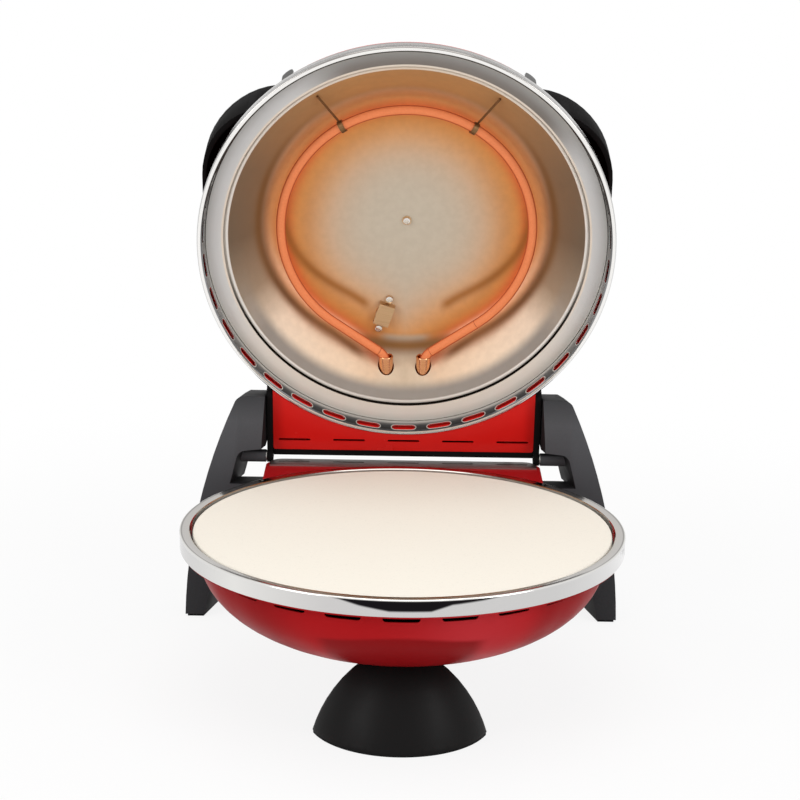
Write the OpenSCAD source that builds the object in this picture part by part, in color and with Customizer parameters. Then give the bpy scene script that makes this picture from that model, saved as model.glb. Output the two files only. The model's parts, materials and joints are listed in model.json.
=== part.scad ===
// Countertop pizza oven: a red bowl and a hinged red dome, each with a heating loop.
// Built about the centre of the cooking ring: X to the right, front at -Y, Z up.
// The lid is drawn shut and then turned open about its hinge.

/* [Rims and stone] */
// Outer radius of both chrome rims
ring_r = 164; // [156:0.5:172]
// Height of the chrome band of each rim
band_h = 12; // [10:0.5:14]
// Thickness of the rims' sheet
rim_t = 1; // [0.8:0.1:1.2]
// Distance from the stone's edge to the outside of its rim
rim_w = 9.5; // [9:0.5:16]
// Thickness of the baking stone
stone_t = 10; // [8:0.5:10.5]
// How far the stone lies below the top of its rim
stone_drop = 1; // [0.5:0.1:2]
// Gap between the two rims with the lid shut
rim_gap = 0.8; // [0.5:0.1:1.5]

/* [Bowl and dome] */
// Width of the step between a rim and its bowl
rim_step = 13.2; // [11:0.1:15]
// Depth of the bowl, and height of the dome, beyond the step
bowl_d = 72.9; // [68:0.1:84]
// Thickness of the red sheet
shell_t = 1.2; // [0.8:0.1:1.6]

/* [Reflector pans] */
// Distance of the pans' mouths inside the rims
mouth_in = 23.2; // [21:0.2:27]
// Distance of the pans' flat floors inside their mouths
pan_wall_w = 35.8; // [33:0.2:39]
// Depth of the lid's pan below its rim plane
lid_pan_d = 60; // [56:0.5:62]
// Depth of the base's pan below its rim plane
base_pan_d = 52; // [46:0.5:60]
// Thickness of the pans' sheet
pan_t = 0.8; // [0.5:0.1:1]
// Bending radius between a pan's floor and its wall
pan_bend = 8; // [4:0.5:9]

/* [Heating loops] */
// Distance of the heating loops inside the edges of the pans' floors
loop_in = 4.5; // [2:0.5:12]
// Diameter of the heating tubes
tube_d = 8; // [6:0.5:9]
// Height of the upper loop above the lid's rim plane
upper_loop_z = 40; // [36:0.5:46]
// Depth of the lower loop below the base's rim plane
lower_loop_z = 32; // [26:0.5:38]
// Half distance between the two ends of a loop
end_x = 15.3; // [12:0.1:20]
// Angle from the rear at which a loop leaves its circle
leave_a = 35; // [30:1:45]
// Radius of the reverse bends
bend_r = 14; // [10:0.5:18]

/* [Vents] */
// Angle between the slots of the lid's rim
rim_slot_a = 10.43; // [10:0.01:12]
// Length of the slots of the lid's rim
rim_slot_l = 19.5; // [12:0.5:21]
// Width of the slots of the lid's rim
rim_slot_w = 6.2; // [3:0.1:6.4]
// Angle between the slots of the bowl
bowl_slot_a = 15.5; // [13:0.1:18]
// Length of the slots of the bowl
bowl_slot_l = 26; // [15:0.5:28]
// Distance from the rear boxes' outer slots to the sides of the upper box
box_slot_in = 4.3; // [3:0.1:14]
// Length of the slots of the rear boxes
box_slot_l = 26; // [18:0.5:28]

/* [Rear boxes and hinge] */
// Distance of the upper rear box's sides inside the rims
box_in = 57.7; // [54:0.1:62]
// Depth of the lower rear box
base_box_h = 50; // [42:0.5:58]
// Height of the upper rear box
lid_box_h = 52; // [46:0.5:58]
// Distance of the hinge axis behind the rims
hinge_back = 21.5; // [20:0.1:24]
// Height of the hinge axis above the lower rim
hinge_z = 1.5; // [1:0.1:3]
// Angle between the shut lid and the open lid
open_a = 77.2; // [65:0.1:80]
// Thickness of the two hinge arms
arm_t = 5; // [4:0.1:6]
// Radius of the hinge pins
pin_r = 3; // [2.5:0.1:3.2]
// Outer radius of the hinge eyes
eye_r = 5.2; // [5:0.1:5.4]
// Thickness of the rear covers
cover_t = 5.2; // [3:0.1:6]

/* [Legs and foot] */
// Height of the lower rim above the table
stand_h = 132; // [126:0.5:150]
// Distance of the legs' front faces behind the rims
leg_back = 2; // [1:0.1:4]
// Depth of the legs from front to back
leg_d = 40; // [34:0.5:46]
// Angle at which the legs lean inwards towards the back
leg_lean = 14; // [8:0.5:16]
// Height of the legs' tops above the lower rim
leg_top = 56; // [52:0.5:62]
// Angle at which the legs' tops fall towards the back
leg_fall = 6; // [0:0.5:8]
// Width of the legs at the table
leg_foot_w = 65.7; // [60:0.1:72]
// Width of the legs at the top
leg_top_w = 25.8; // [23:0.1:30]
// Radius of the legs' outer curve
leg_curve_r = 469.2; // [430:1:520]
// Wall thickness of the moulded legs and foot
wall = 3; // [2.5:0.1:3.5]
// Radius of the front foot at the table
foot_r = 67.3; // [62:0.1:72]
// Radius of the front foot at the height of the bowl's bottom
foot_neck_r = 44.6; // [42:0.1:50]
// Distance of the front foot's axis in front of the ring's centre
foot_y = 52.4; // [48:0.1:56]
// Distance of the foot's flat back in front of that axis
foot_cut = 22.6; // [20:0.1:25]
// Thickness of the rubber pads
pad_t = 2; // [1.5:0.1:3]

/* [Handle and controls] */
// Distance of the handle's ends inside the rims' sides
handle_in = 1.5; // [0:0.5:5]
// Distance of the handle's front behind the rims' front
front_in = 64; // [62:0.5:68]
// Distance of the handle's ends behind the lid's centre
handle_end = 8; // [0:0.5:14]
// Width of the handle's side pods
pod_w = 38; // [36:0.5:40]
// Depth of the handle's bar from front to back
bar_w = 28; // [24:0.5:30]
// Height of the pods' undersides above the lid's rim plane
pod_low = 44; // [40:0.5:48]
// Height of the handle's ends above the lid's rim plane
pod_top = 82; // [78:0.5:86]
// Height of the handle's middle above the lid's rim plane
bar_top = 114; // [108:0.5:118]
// Thickness of the handle's bar
bar_t = 16; // [13:0.5:18]
// Diameter of the control knobs
knob_d = 32; // [28:0.5:34]
// Height of the control knobs
knob_h = 14; // [11:0.5:16]

/* [Hidden] */
$fn = 64;

fine = 120;                   // facets of the large round pieces
far = 400;                    // longer than anything it cuts
fit = 0.2;                    // gap between pieces that are fastened together
run = 0.05;                   // radial clearance of a pin or shaft in its hole
seat_gap = 0.1;               // gap between a flat end and the curved sheet that it meets

bead = 0.3;                   // how far a rim's bead stands out
stone_r = ring_r - rim_w;
ring_in = stone_r + 2;        // edge of the lower rim round the stone
ledge_r = stone_r - 9;        // edge of the ledge that carries the stone
stone_z = -stone_drop - stone_t;
skirt_r = ring_r - rim_t - fit;
bowl_r = ring_r - rim_step;
step_z = band_h + 1.5;        // height at which bowl and dome leave the rim
pole_z = step_z + bowl_d;
round_r = 2.31;               // exponents of the flattened round section
round_z = 2.15;

seat_z = band_h + 2.2;        // height of the flange inside the lid's rim
seat_r = ring_r - 6;          // edge of the seat that carries the flange
cone_r = skirt_r - shell_t - fit - 1.2 * rim_t;       // slotted wall of the lid's rim, where it meets the lip
rim_slot_z = 1.5 * rim_t + rim_slot_w / 2;
pan_mouth_r = ring_r - mouth_in;
pan_floor_r = pan_mouth_r - pan_wall_w;
lip_r = 1.6;                  // radius of the rolled lip round the lid pan's mouth
mouth_z = seat_z + 3.6;       // height of the lid pan's mouth
lid_step_z = seat_z + rim_t + shell_t + 1.5 * fit;    // the dome leaves its rim above the seat
dome_d = pole_z - lid_step_z;
flange_in = pan_mouth_r + 2 * lip_r + 0.6;
loop_r = pan_floor_r - loop_in;
sleeve_r = tube_d / 2 + 1.4;  // sleeves on the loops' ends, and their holes in the pans
sleeve_hole_r = sleeve_r + 1.2;

hinge_y = ring_r + hinge_back;
hinge_dz = hinge_z - rim_gap; // height of the hinge axis above the lid's rim plane
base_back = hinge_y - 2.5;    // rear wall of the lower box
lid_back = hinge_y - 1 - cover_t;
box_front = 40;               // the rear boxes start inside the bowl
box_round = 14;               // radius of the lower box's corners, clear of the hinge eyes
lid_round = 2;                // radius of the upper box's side corners
deck_t = 1.3;
panel_z = 0.8;                // upper box's underside above the lid's rim plane
box_w = ring_r - box_in;
box_slot_p = (box_w - box_slot_in - box_slot_l / 2) / 2;
arm_x = box_w + fit;
arm_y = sqrt(pow(ring_r + 1, 2) - pow(arm_x, 2)) + 1;   // front of the hinge arms, just clear of the rim
arm_holes = [arm_y + 9, hinge_y - 28];
arm_hole_z = lid_box_h / 2;
base_box_w = arm_x + arm_t;
leg_in = base_box_w + 0.8;
leg_y = ring_r + leg_back;
gland_x = 55;
gland_z = -0.4 * base_box_h;
screw_r = 1.8;                // shanks of the screws, and their holes
hole_r = screw_r + fit;
cover_screw_r = 1.6;
small_screw_r = 1.5;
cover_screw_in = 20;          // distance of the covers' screws inside the boxes' sides

leg_foot_z = -stand_h + pad_t;
pin_l = 22;                   // depth of the hinge pins' holes in the legs
horn_r = 8;                   // rounding of the legs' outer top edge
arch_z = 10;                  // height of the arch over the window beside the hinge
column_z = -21;               // height below which the leg is a plain column
column_x = leg_in + 29.7;
column_slope = 0.183;
bracket_z = 5 - base_box_h;   // block that joins a leg to its flange on the bowl
bracket_w = column_x + 1.5 - base_box_w;
bracket_d = 22;
bracket_h = 27.7;
flange_t = 4;
flange_l = 24;
flange_h = 26;
leg_screw_z = bracket_z + flange_h / 2;
leg_screw_d = [6, 18];        // distances of the legs' screws in front of the legs
foot_arc_r = 117.6;           // radius of the foot's bulging side
foot_screw_x = 10;
foot_screw_y = foot_y + foot_cut + wall + 4;
foot_boss_r = 4.4;
foot_h = 72;                  // height of the moulding before it is cut to the bowl

handle_w = ring_r - handle_in;
handle_front = ring_r - front_in;
arch_r = (pow(handle_w - pod_w / 2, 2) + pow(bar_top - pod_top, 2)) / (2 * (bar_top - pod_top));
pod_in = handle_w - pod_w;
corner_r = 57;                // radius of the handle's front corners, seen from above
knob_x = handle_w - pod_w / 2;
knob_y = -22;
shaft_r = 3;
stud_r = bowl_r - 16.8;       // distance of the handle's screws from the dome's middle
stud_y = 20 - handle_front;
stud_l = 14;                  // depth of their holes in the handle
stud = [sqrt(pow(stud_r, 2) - pow(stud_y, 2)), stud_y];
lamp_y = knob_y - 34;
lamp_r = 4;
knob_z = bar_top - arch_r + sqrt(pow(arch_r, 2) - pow(knob_x - knob_d / 2, 2)) + 0.8;

function unit(v) = v / norm(v);
function arc(c, r, a0, a1, n = 8) = [for (i = [0:n]) let (a = a0 + (a1 - a0) * i / n)
    [c.x + r * cos(a), c.y + r * sin(a)]];
// Points of a fillet of radius r at corner c, between neighbours a and b
function fillet(a, c, b, r, n = 6) = let (
    u = unit(a - c), v = unit(b - c), half = acos(u * v) / 2, o = c + unit(u + v) * r / sin(half),
    s = c + u * r / tan(half) - o, e = c + v * r / tan(half) - o, a0 = atan2(s.y, s.x),
    da = (atan2(e.y, e.x) - a0 + 540) % 360 - 180) arc(o, r, a0, a0 + da, n);
// Closed outline whose corners [x, y, r] are rounded to radius r
function rounded(p, n = 6) = [for (i = [0:len(p) - 1])
    let (c = p[i], a = p[(i + len(p) - 1) % len(p)], b = p[(i + 1) % len(p)])
    each c[2] > 0 ? fillet([a.x, a.y], [c.x, c.y], [b.x, b.y], c[2], n) : [[c.x, c.y]]];
function left(a, b) = let (u = unit(b - a)) [-u.y, u.x];
// Centre of the circle of radius r through a and b, on the left of their direction
function centre(a, b, r) = (a + b) / 2 + left(a, b) * sqrt(pow(r, 2) - pow(norm(b - a) / 2, 2));
// Band of sheet of thickness t along an open path, laid on the left of its direction
function sheet(p, t) = let (last = len(p) - 1) concat(p, [for (i = [last:-1:0]) let (
    m = left(p[max(i - 1, 0)], p[max(i, 1)]), n = left(p[min(i, last - 1)], p[min(i + 1, last)]))
    p[i] + t * (m + n) / (1 + m * n)]);
// Flattened round section from the step (r, z0) to the pole (0, z0 + d)
function section(r, d, z0, n = 20) = [for (i = [0:n]) let (a = 90 * i / n)
    [r * pow(cos(a), 2 / round_r), z0 + d * pow(sin(a), 2 / round_z)]];
// Height of the dome's sheet at radius r, its outer side or, with inset, its inner side
function dome_z(r, inset) = lid_step_z
    + (dome_d - inset) * pow(1 - pow(r / (bowl_r - inset), round_r), 1 / round_z);
// Radius of a pan's wall at depth z, for a pan of the given depth whose mouth lies at the given depth
function wall_r(z, depth, mouth) = pan_floor_r + pan_wall_w * (depth - z) / (depth - mouth);
function cover_screw_z(z0, z1) = (z0 + z1) / 2 - 6;
// Where a point (y, z) of the shut lid lies with the lid open
function opened(p) = let (y = p.x - hinge_y, z = p.y - hinge_dz)
    [hinge_y + y * cos(open_a) + z * sin(open_a), hinge_z - y * sin(open_a) + z * cos(open_a)];

knob_rear = opened([knob_y + knob_d / 2 - 2.5, knob_z + knob_h]).x;
rear_y = max(concat([for (p = section(bowl_r, dome_d, lid_step_z)) opened(p).x], [knob_rear]));
mid_y = (rear_y - ring_r - bead) / 2;

module on_base() translate([0, -mid_y, stand_h]) children();
module on_lid() on_base() translate([0, hinge_y, hinge_z]) rotate([-open_a, 0, 0])
    translate([0, -hinge_y, -hinge_dz]) children();
module both_sides() {
    children();
    mirror([1, 0, 0]) children();
}
module revolve(pts) rotate_extrude($fn = fine) polygon(pts);
module along_x(x0, x1, pts) translate([x0, 0, 0]) rotate([90, 0, 90]) linear_extrude(x1 - x0) polygon(pts);
module along_y(y0, y1, pts) translate([0, y1, 0]) rotate([90, 0, 0]) linear_extrude(y1 - y0) polygon(pts);
module rod_x(r, x0, x1) translate([x0, 0, 0]) rotate([0, 90, 0]) cylinder(r = r, h = x1 - x0);
module rod_y(r, y0, y1) translate([0, y0, 0]) rotate([-90, 0, 0]) cylinder(r = r, h = y1 - y0);
// Slot with round ends, along X, cut downwards from z = 0
module slot(l, w, h) translate([0, 0, -h]) linear_extrude(h)
    polygon(concat(arc([(l - w) / 2, 0], w / 2, -90, 90), arc([(w - l) / 2, 0], w / 2, 90, 270)));
module screw(r, l) {
    cylinder(r = 2 * r, h = 1.2 * r, $fn = 32);
    translate([0, 0, -l]) cylinder(r = r, h = l + r / 2, $fn = 32);
}

// ---- red bowl and dome, each with a rear box; drawn as the dome, with the rim plane at z = 0 ----
module dome(grow, top) revolve(concat([[0, 0], [bowl_r + grow, 0]],
    section(bowl_r + grow, pole_z - top + grow, top)));
module rear_box(w, back, z0, z1, corner, inset = 0) intersection() {
    along_x(-w, w, rounded([[box_front, z0 + inset, 0], [back - inset, z0 + inset, 0],
        [back - inset, z1 - inset, box_round - inset], [box_front, z1 - inset, 0]]));
    linear_extrude(far) polygon(rounded([[inset - w, box_front, 0], [w - inset, box_front, 0],
        [w - inset, back - inset, corner - inset], [inset - w, back - inset, corner - inset]]));
}
module box_inside(w, back, z0, z1, corner) difference() {
    rear_box(w, back, z0, z1, corner, shell_t);
    cylinder(r = ring_r + bead + fit + shell_t, h = step_z, $fn = fine);
}
// top is the height at which the red sheet leaves the rim
module shell(w, back, z0, z1, corner, top) difference() {
    union() {
        translate([0, 0, rim_t + fit]) cylinder(r = skirt_r, h = top - rim_t - fit, $fn = fine);
        translate([0, 0, top]) mirror([0, 0, 1]) cylinder(r = bowl_r, h = 2, $fn = fine);
        dome(0, top);
        rear_box(w, back, z0, z1, corner);
    }
    cylinder(r = skirt_r - shell_t, h = 2 * (top - shell_t), center = true, $fn = fine);
    dome(-shell_t, top);
    box_inside(w, back, z0, z1, corner);
    difference() {
        cylinder(r = ring_r + bead + fit, h = band_h + fit, $fn = fine);
        translate([0, 0, rim_t + fit]) cylinder(r = skirt_r, h = far, $fn = fine);
    }
    along_y(back - 3, back + 3, rounded([[26 - w, z0 + 6, 4], [w - 26, z0 + 6, 4],
        [w - 26, z1 - 20, 4], [26 - w, z1 - 20, 4]]));
    both_sides() translate([w - cover_screw_in, 0, cover_screw_z(z0, z1)])
        rod_y(cover_screw_r + fit, back - 3, back + 3);
}
module box_slots(back, w) for (i = [-2:2]) translate([i * box_slot_p, back, 6]) slot(box_slot_l, w, 12);

module base_shell() color([0.72, 0.05, 0.06]) on_base() difference() {
    mirror([0, 0, 1]) difference() {
        shell(base_box_w, base_back, deck_t + fit, base_box_h, box_round, step_z);
        for (i = [-8:8]) rotate([0, 0, i * bowl_slot_a]) translate([0, -bowl_r - 3, step_z + 4.6])
            rotate([90, 0, 0]) slot(bowl_slot_l, 5, 12);
        both_sides() for (d = leg_screw_d) translate([0, leg_y - d, -leg_screw_z])
            rod_x(hole_r, base_box_w - 4, base_box_w + 4);
    }
    box_slots(base_back - 8, 3);
    both_sides() translate([foot_screw_x, -foot_screw_y, -pole_z]) cylinder(r = hole_r, h = bowl_d);
    translate([0, 0, -pole_z - 1]) cylinder(r = hole_r, h = 10);
}
module base_ring() color([0.8, 0.8, 0.8]) on_base() revolve(sheet(concat(
    [[ring_r, -band_h], [ring_r, -2], [ring_r + bead, -1.4]],
    arc([ring_r + bead - 1.1, -0.8], 1.1, 0, 90, 4),
    [[ring_r - 2, 0], [ring_in + 0.6, 0], [ring_in, -0.6], [ring_in, stone_z], [ledge_r, stone_z]]), rim_t));
module stone() color([0.93, 0.9, 0.8]) on_base() revolve(concat([[0, stone_z]],
    arc([stone_r - 1.5, stone_z + 1.5], 1.5, -90, 0, 3),
    arc([stone_r - 1.5, -stone_drop - 1.5], 1.5, 0, 90, 3), [[0, -stone_drop]]));
module base_pan() color([0.75, 0.75, 0.74]) on_base() difference() {
    revolve(sheet(concat([[bowl_r - shell_t - fit, stone_z - rim_t], [pan_mouth_r, stone_z - rim_t]],
        fillet([pan_mouth_r, stone_z - rim_t], [pan_floor_r, -base_pan_d], [0, -base_pan_d], pan_bend),
        [[0, -base_pan_d]]), pan_t));
    translate([0, 0, -base_pan_d]) cylinder(r = hole_r, h = 10, center = true);
    both_sides() translate([end_x, 0, -lower_loop_z]) rod_y(sleeve_hole_r, pan_floor_r, pan_mouth_r);
}
module base_pan_spacer() color([0.7, 0.7, 0.68]) on_base() difference() {
    translate([0, 0, shell_t + seat_gap - pole_z])
        cylinder(r = 5, h = pole_z - shell_t - seat_gap - base_pan_d - pan_t);
    translate([0, 0, -pole_z]) cylinder(r = hole_r, h = pole_z);
}
module base_pan_screw() color([0.7, 0.7, 0.7]) on_base() {
    translate([0, 0, -base_pan_d]) screw(screw_r, pole_z - base_pan_d + 4);
    translate([0, 0, -pole_z - 3]) cylinder(r = 4.5, h = 3, $fn = 6);
}

// ---- heating loops, their rear ends pointing back at x = -end_x and end_x ----
turn_x = end_x + bend_r * (1 - sin(leave_a));
straight_l = (loop_r * sin(leave_a) - turn_x) / cos(leave_a);
turn_y = loop_r * cos(leave_a) + straight_l * sin(leave_a) + bend_r * cos(leave_a);
module bent_tube(r, a) rotate_extrude(angle = a, $fn = 96) translate([r, 0]) circle(d = tube_d, $fn = 24);
module heating_loop() {
    rotate([0, 0, 90 + leave_a]) bent_tube(loop_r, 360 - 2 * leave_a);
    both_sides() {
        rotate([0, 0, -leave_a]) translate([0, loop_r, 0]) rotate([0, -90, 0])
            cylinder(d = tube_d, h = straight_l, $fn = 24);
        translate([end_x + bend_r, turn_y, 0]) rotate([0, 0, 180]) bent_tube(bend_r, 90 - leave_a);
    }
}
module terminals(wall_y) both_sides() translate([end_x, 0, 0]) {
    rod_y(sleeve_r, turn_y, wall_y + 12);
    rod_y(1.5, wall_y + 12, wall_y + 20);
}
// Ring of a steel clip round a tube at distance loop_r in front
clip_w = 4;
clip_leaf = 1.2;
module clip_ring() translate([0, -loop_r, 0]) rotate([0, 90, 0]) difference() {
    cylinder(d = tube_d + 2 * fit + 2 * pan_t, h = clip_w, center = true, $fn = 32);
    cylinder(d = tube_d + 2 * fit, h = 2 * clip_w, center = true, $fn = 32);
}
module lower_element() color([0.4, 0.36, 0.34]) on_base() translate([0, 0, -lower_loop_z]) heating_loop();
module lower_terminals() color([0.7, 0.68, 0.64]) on_base() translate([0, 0, -lower_loop_z])
    terminals(wall_r(lower_loop_z, base_pan_d, rim_t - stone_z));
module lower_clips() color([0.7, 0.7, 0.68]) on_base() for (a = [0, 110, -110]) rotate([0, 0, a]) {
    translate([0, 0, -lower_loop_z]) clip_ring();
    translate([-clip_w / 2, -loop_r - clip_leaf / 2, -base_pan_d]) {
        cube([clip_w, clip_leaf, base_pan_d - lower_loop_z - tube_d / 2 - fit - pan_t / 2]);
        cube([clip_w, 8, 1]);
    }
}
module upper_element() color([0.95, 0.45, 0.2]) on_lid() translate([0, 0, upper_loop_z]) heating_loop();
module upper_terminals() color([0.8, 0.72, 0.62]) on_lid() translate([0, 0, upper_loop_z])
    terminals(wall_r(upper_loop_z, lid_pan_d, mouth_z));
clip_wire_r = 0.9;
clip_foot_z = mouth_z + 4;    // the wires run from the pan's wall at this height to the loop
clip_wire_z = upper_loop_z - clip_foot_z;
clip_wall_r = wall_r(clip_foot_z, lid_pan_d, mouth_z) - 1.25 * clip_wire_r;
clip_wire_y = clip_wall_r - loop_r - tube_d / 2 - fit - pan_t / 2;
module upper_clips() color([0.75, 0.66, 0.55]) on_lid() for (a = [-31, 31]) rotate([0, 0, a]) {
    translate([0, 0, upper_loop_z]) clip_ring();
    translate([0, -clip_wall_r, clip_foot_z]) rotate([-atan2(clip_wire_y, clip_wire_z), 0, 0])
        cylinder(r = clip_wire_r, h = norm([clip_wire_y, clip_wire_z]), $fn = 24);
}

// ---- rear of the base ----
module deck_plate() color([0.62, 0.61, 0.6]) on_base() difference() {
    translate([0, 0, -deck_t - fit]) linear_extrude(deck_t) polygon(rounded([[3 - base_box_w, ring_r + 1, 0],
        [base_box_w - 3, ring_r + 1, 0], [base_box_w - 3, base_back, box_round - 3],
        [3 - base_box_w, base_back, box_round - 3]]));
    box_slots(base_back - 8, 3);
}
module rear_cover(w, z0, z1, low_r) along_y(0, cover_t, rounded([[-w, z0, low_r], [w, z0, low_r],
    [w, z1, 8], [-w, z1, 8]]));
module base_rear_cover() color([0.1, 0.1, 0.1]) on_base() difference() {
    translate([0, base_back, 0]) rear_cover(base_box_w - box_round - 1, box_round - base_box_h, -4, 4);
    translate([gland_x, 0, gland_z]) rod_y(gland_r + fit, base_back - 1, base_back + cover_t + 1);
    both_sides() translate([base_box_w - cover_screw_in, 0, -cover_screw_z(deck_t + fit, base_box_h)])
        rod_y(cover_screw_r + fit, base_back - 1, base_back + cover_t + 1);
}
module cover_screw() rotate([-90, 0, 0]) screw(cover_screw_r, cover_t + 6);
module base_cover_screws() color([0.6, 0.6, 0.6]) on_base() both_sides()
    translate([base_box_w - cover_screw_in, base_back + cover_t, -cover_screw_z(deck_t + fit, base_box_h)])
        cover_screw();
gland_r = 8;
module cord_gland() color([0.08, 0.08, 0.08]) on_base() translate([gland_x, base_back, gland_z])
    rotate([-90, 0, 0]) difference() {
        union() {
            translate([0, 0, -4]) cylinder(r = gland_r, h = cover_t + 5);
            translate([0, 0, cover_t]) cylinder(r = gland_r + 2.5, h = 4);
            translate([0, 0, cover_t + 4]) cylinder(r1 = gland_r, r2 = gland_r - 2, h = 12);
        }
        cylinder(r = 3.6, h = far, center = true);
    }
block_pitch = 12;
module terminal_block() color([0.88, 0.86, 0.8]) on_base()
    translate([20, base_back - 20 - box_round, shell_t - base_box_h]) difference() {
        cube([3 * block_pitch, 1.5 * block_pitch, 14]);
        for (i = [0.5:2.5]) translate([i * block_pitch, 0.75 * block_pitch, 4])
            cylinder(r = 2.5, h = 20, $fn = 32);
    }

// ---- front foot ----
// Centre of the bulging side, which passes the radii given for the table and for the bowl's bottom
foot_c = centre([foot_r, 0], [foot_neck_r, stand_h - pole_z], foot_arc_r);
function foot_side(inset) = [for (h = [pad_t:8:pad_t + foot_h])
    [foot_c.x + sqrt(pow(foot_arc_r, 2) - pow(h - foot_c.y, 2)) - inset, h - stand_h]];
module foot_half(inset) intersection() {
    translate([0, -foot_y, 0]) revolve(concat([[0, pad_t - stand_h]], foot_side(inset),
        [[0, pad_t + foot_h - stand_h]]));
    translate([-far / 2, -foot_y - foot_cut - far - inset, -far]) cube([far, far, 2 * far]);
}
module front_foot() color([0.09, 0.09, 0.09]) on_base() difference() {
    union() {
        difference() {
            foot_half(0);
            difference() {
                translate([0, 0, -0.1]) foot_half(wall);
                mirror([0, 0, 1]) dome(fit + wall, step_z);
            }
        }
        intersection() {
            foot_half(0);
            both_sides() translate([foot_screw_x, -foot_screw_y, -pole_z - 6])
                cylinder(r = foot_boss_r, h = 20);
        }
    }
    mirror([0, 0, 1]) dome(fit, step_z);
    both_sides() translate([foot_screw_x, -foot_screw_y, -pole_z - 10]) cylinder(r = hole_r, h = 40);
}
module foot_plan(inset, h) intersection() {
    translate([0, -foot_y, 0]) cylinder(r = foot_r - inset, h = h, $fn = fine);
    translate([-far / 2, -foot_y - foot_cut - far - inset, -1]) cube([far, far, far]);
}
module foot_pad() color([0.05, 0.05, 0.05]) on_base() translate([0, 0, -stand_h]) difference() {
    foot_plan(0.8, pad_t);
    translate([0, 0, -1]) foot_plan(8, pad_t + 2);
}
module foot_screws() color([0.6, 0.6, 0.6]) on_base() both_sides()
    translate([foot_screw_x, -foot_screw_y, -pole_z - 6]) mirror([0, 0, 1]) screw(screw_r, 10 * screw_r);

// ---- legs and hinge ----
// Centre of the outer curve, which passes the widths given for the table and for the top
leg_low = [leg_in + leg_foot_w, leg_foot_z];
leg_high = [leg_in + leg_top_w, leg_top - horn_r];
leg_c = centre(leg_low, leg_high, leg_curve_r);
leg_toe = column_x + 1.5 + column_slope * (column_z - leg_foot_z);
function leg_outline(w) = let (
    a0 = asin((leg_foot_z + w - leg_c.y) / (leg_curve_r - w)),
    a1 = asin((leg_top - horn_r - leg_c.y) / (leg_curve_r - horn_r)),
    horn = [leg_c.x + (leg_curve_r - horn_r) * cos(a1), leg_top - horn_r],
    top = [leg_in + w, leg_top - w], edge = [leg_in + 3.1 + w, arch_z + 2 + w],
    notch = [leg_in + 21.7 + w, arch_z + w], knee = [column_x - 2 + w, -14], neck = [column_x + w, column_z])
    concat(arc(leg_c, leg_curve_r - w, a0, a1, 12), arc(horn, horn_r - w, a1, 90, 6), [top, edge],
        fillet(edge, notch, knee, 8), [knee, neck],
        [[column_x + w + column_slope * (column_z - leg_foot_z), leg_foot_z + w]]);
// Prism that leans inwards towards the back, cut off square at both ends
module leaning(outline, y0, y1) intersection() {
    translate([leg_in, leg_y, 0]) rotate([0, 0, leg_lean])
        along_y(-20, leg_d + 20, [for (p = outline) [(p.x - leg_in) * cos(leg_lean), p.y]]);
    translate([0, y0, -far / 2]) cube([far, y1 - y0, far]);
}
// Everything above the leg's sloping top, or above a plane w below it
module above_top(w) translate([0, leg_y, leg_top - w]) rotate([-leg_fall, 0, 0])
    translate([0, -far / 2, 0]) cube(far);
module leg_solid() difference() {
    union() {
        difference() {
            leaning(leg_outline(0), leg_y, leg_y + leg_d);
            difference() {
                leaning(leg_outline(wall), leg_y + wall, leg_y + leg_d + 1);
                translate([0, 0, column_z]) cube([leg_in + wall, far, far]);
                for (i = [1, 2]) translate([0, 0, i * leg_foot_z / 3]) cube([far, far, 2.5]);
                above_top(wall);
            }
            above_top(0);
            translate([0, 0, column_z + 1]) cube([leg_in, far, far]);
        }
        translate([0, hinge_y, hinge_z]) rod_x(eye_r, leg_in, leg_in + pin_l + 13);
        translate([base_box_w, leg_y, bracket_z]) cube([bracket_w, bracket_d, bracket_h]);
        translate([base_box_w, leg_y - flange_l, bracket_z]) cube([flange_t, flange_l + 6, flange_h]);
    }
    translate([0, hinge_y, hinge_z]) rod_x(pin_r + run, leg_in - 1, leg_in + pin_l);
    translate([base_box_w + flange_t, leg_y + wall, bracket_z + wall])
        cube([bracket_w - flange_t - wall, leg_d, bracket_h - 2 * wall]);
    for (d = leg_screw_d) translate([0, leg_y - d, leg_screw_z])
        rod_x(hole_r, base_box_w - 1, base_box_w + 30);
}
module leg_left() color([0.14, 0.14, 0.14]) on_base() mirror([1, 0, 0]) leg_solid();
module leg_right() color([0.14, 0.14, 0.14]) on_base() leg_solid();
module leg_pads() color([0.05, 0.05, 0.05]) on_base() both_sides() leaning([[leg_toe, -stand_h],
    [leg_low.x - 1.5, -stand_h], [leg_low.x - 1.5, leg_foot_z], [leg_toe, leg_foot_z]],
    leg_y + 1.5, leg_y + leg_d - 1.5);
module leg_screws() color([0.6, 0.6, 0.6]) on_base() both_sides() for (d = leg_screw_d)
    translate([base_box_w + flange_t, leg_y - d, leg_screw_z]) rotate([0, 90, 0]) screw(screw_r, 5 * screw_r);
module hinge_pins() color([0.7, 0.7, 0.7]) on_base() both_sides() translate([0, hinge_y, hinge_z])
    rod_x(pin_r, arm_x + 1.5 * fit, leg_in + pin_l - fit);
module hinge_washers() color([0.75, 0.75, 0.75]) on_base() both_sides() translate([0, hinge_y, hinge_z])
    difference() {
        rod_x(eye_r - 2 * fit, base_box_w + 1.5 * fit, leg_in);
        rod_x(pin_r + run, base_box_w, leg_in + 1);
    }

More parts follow.
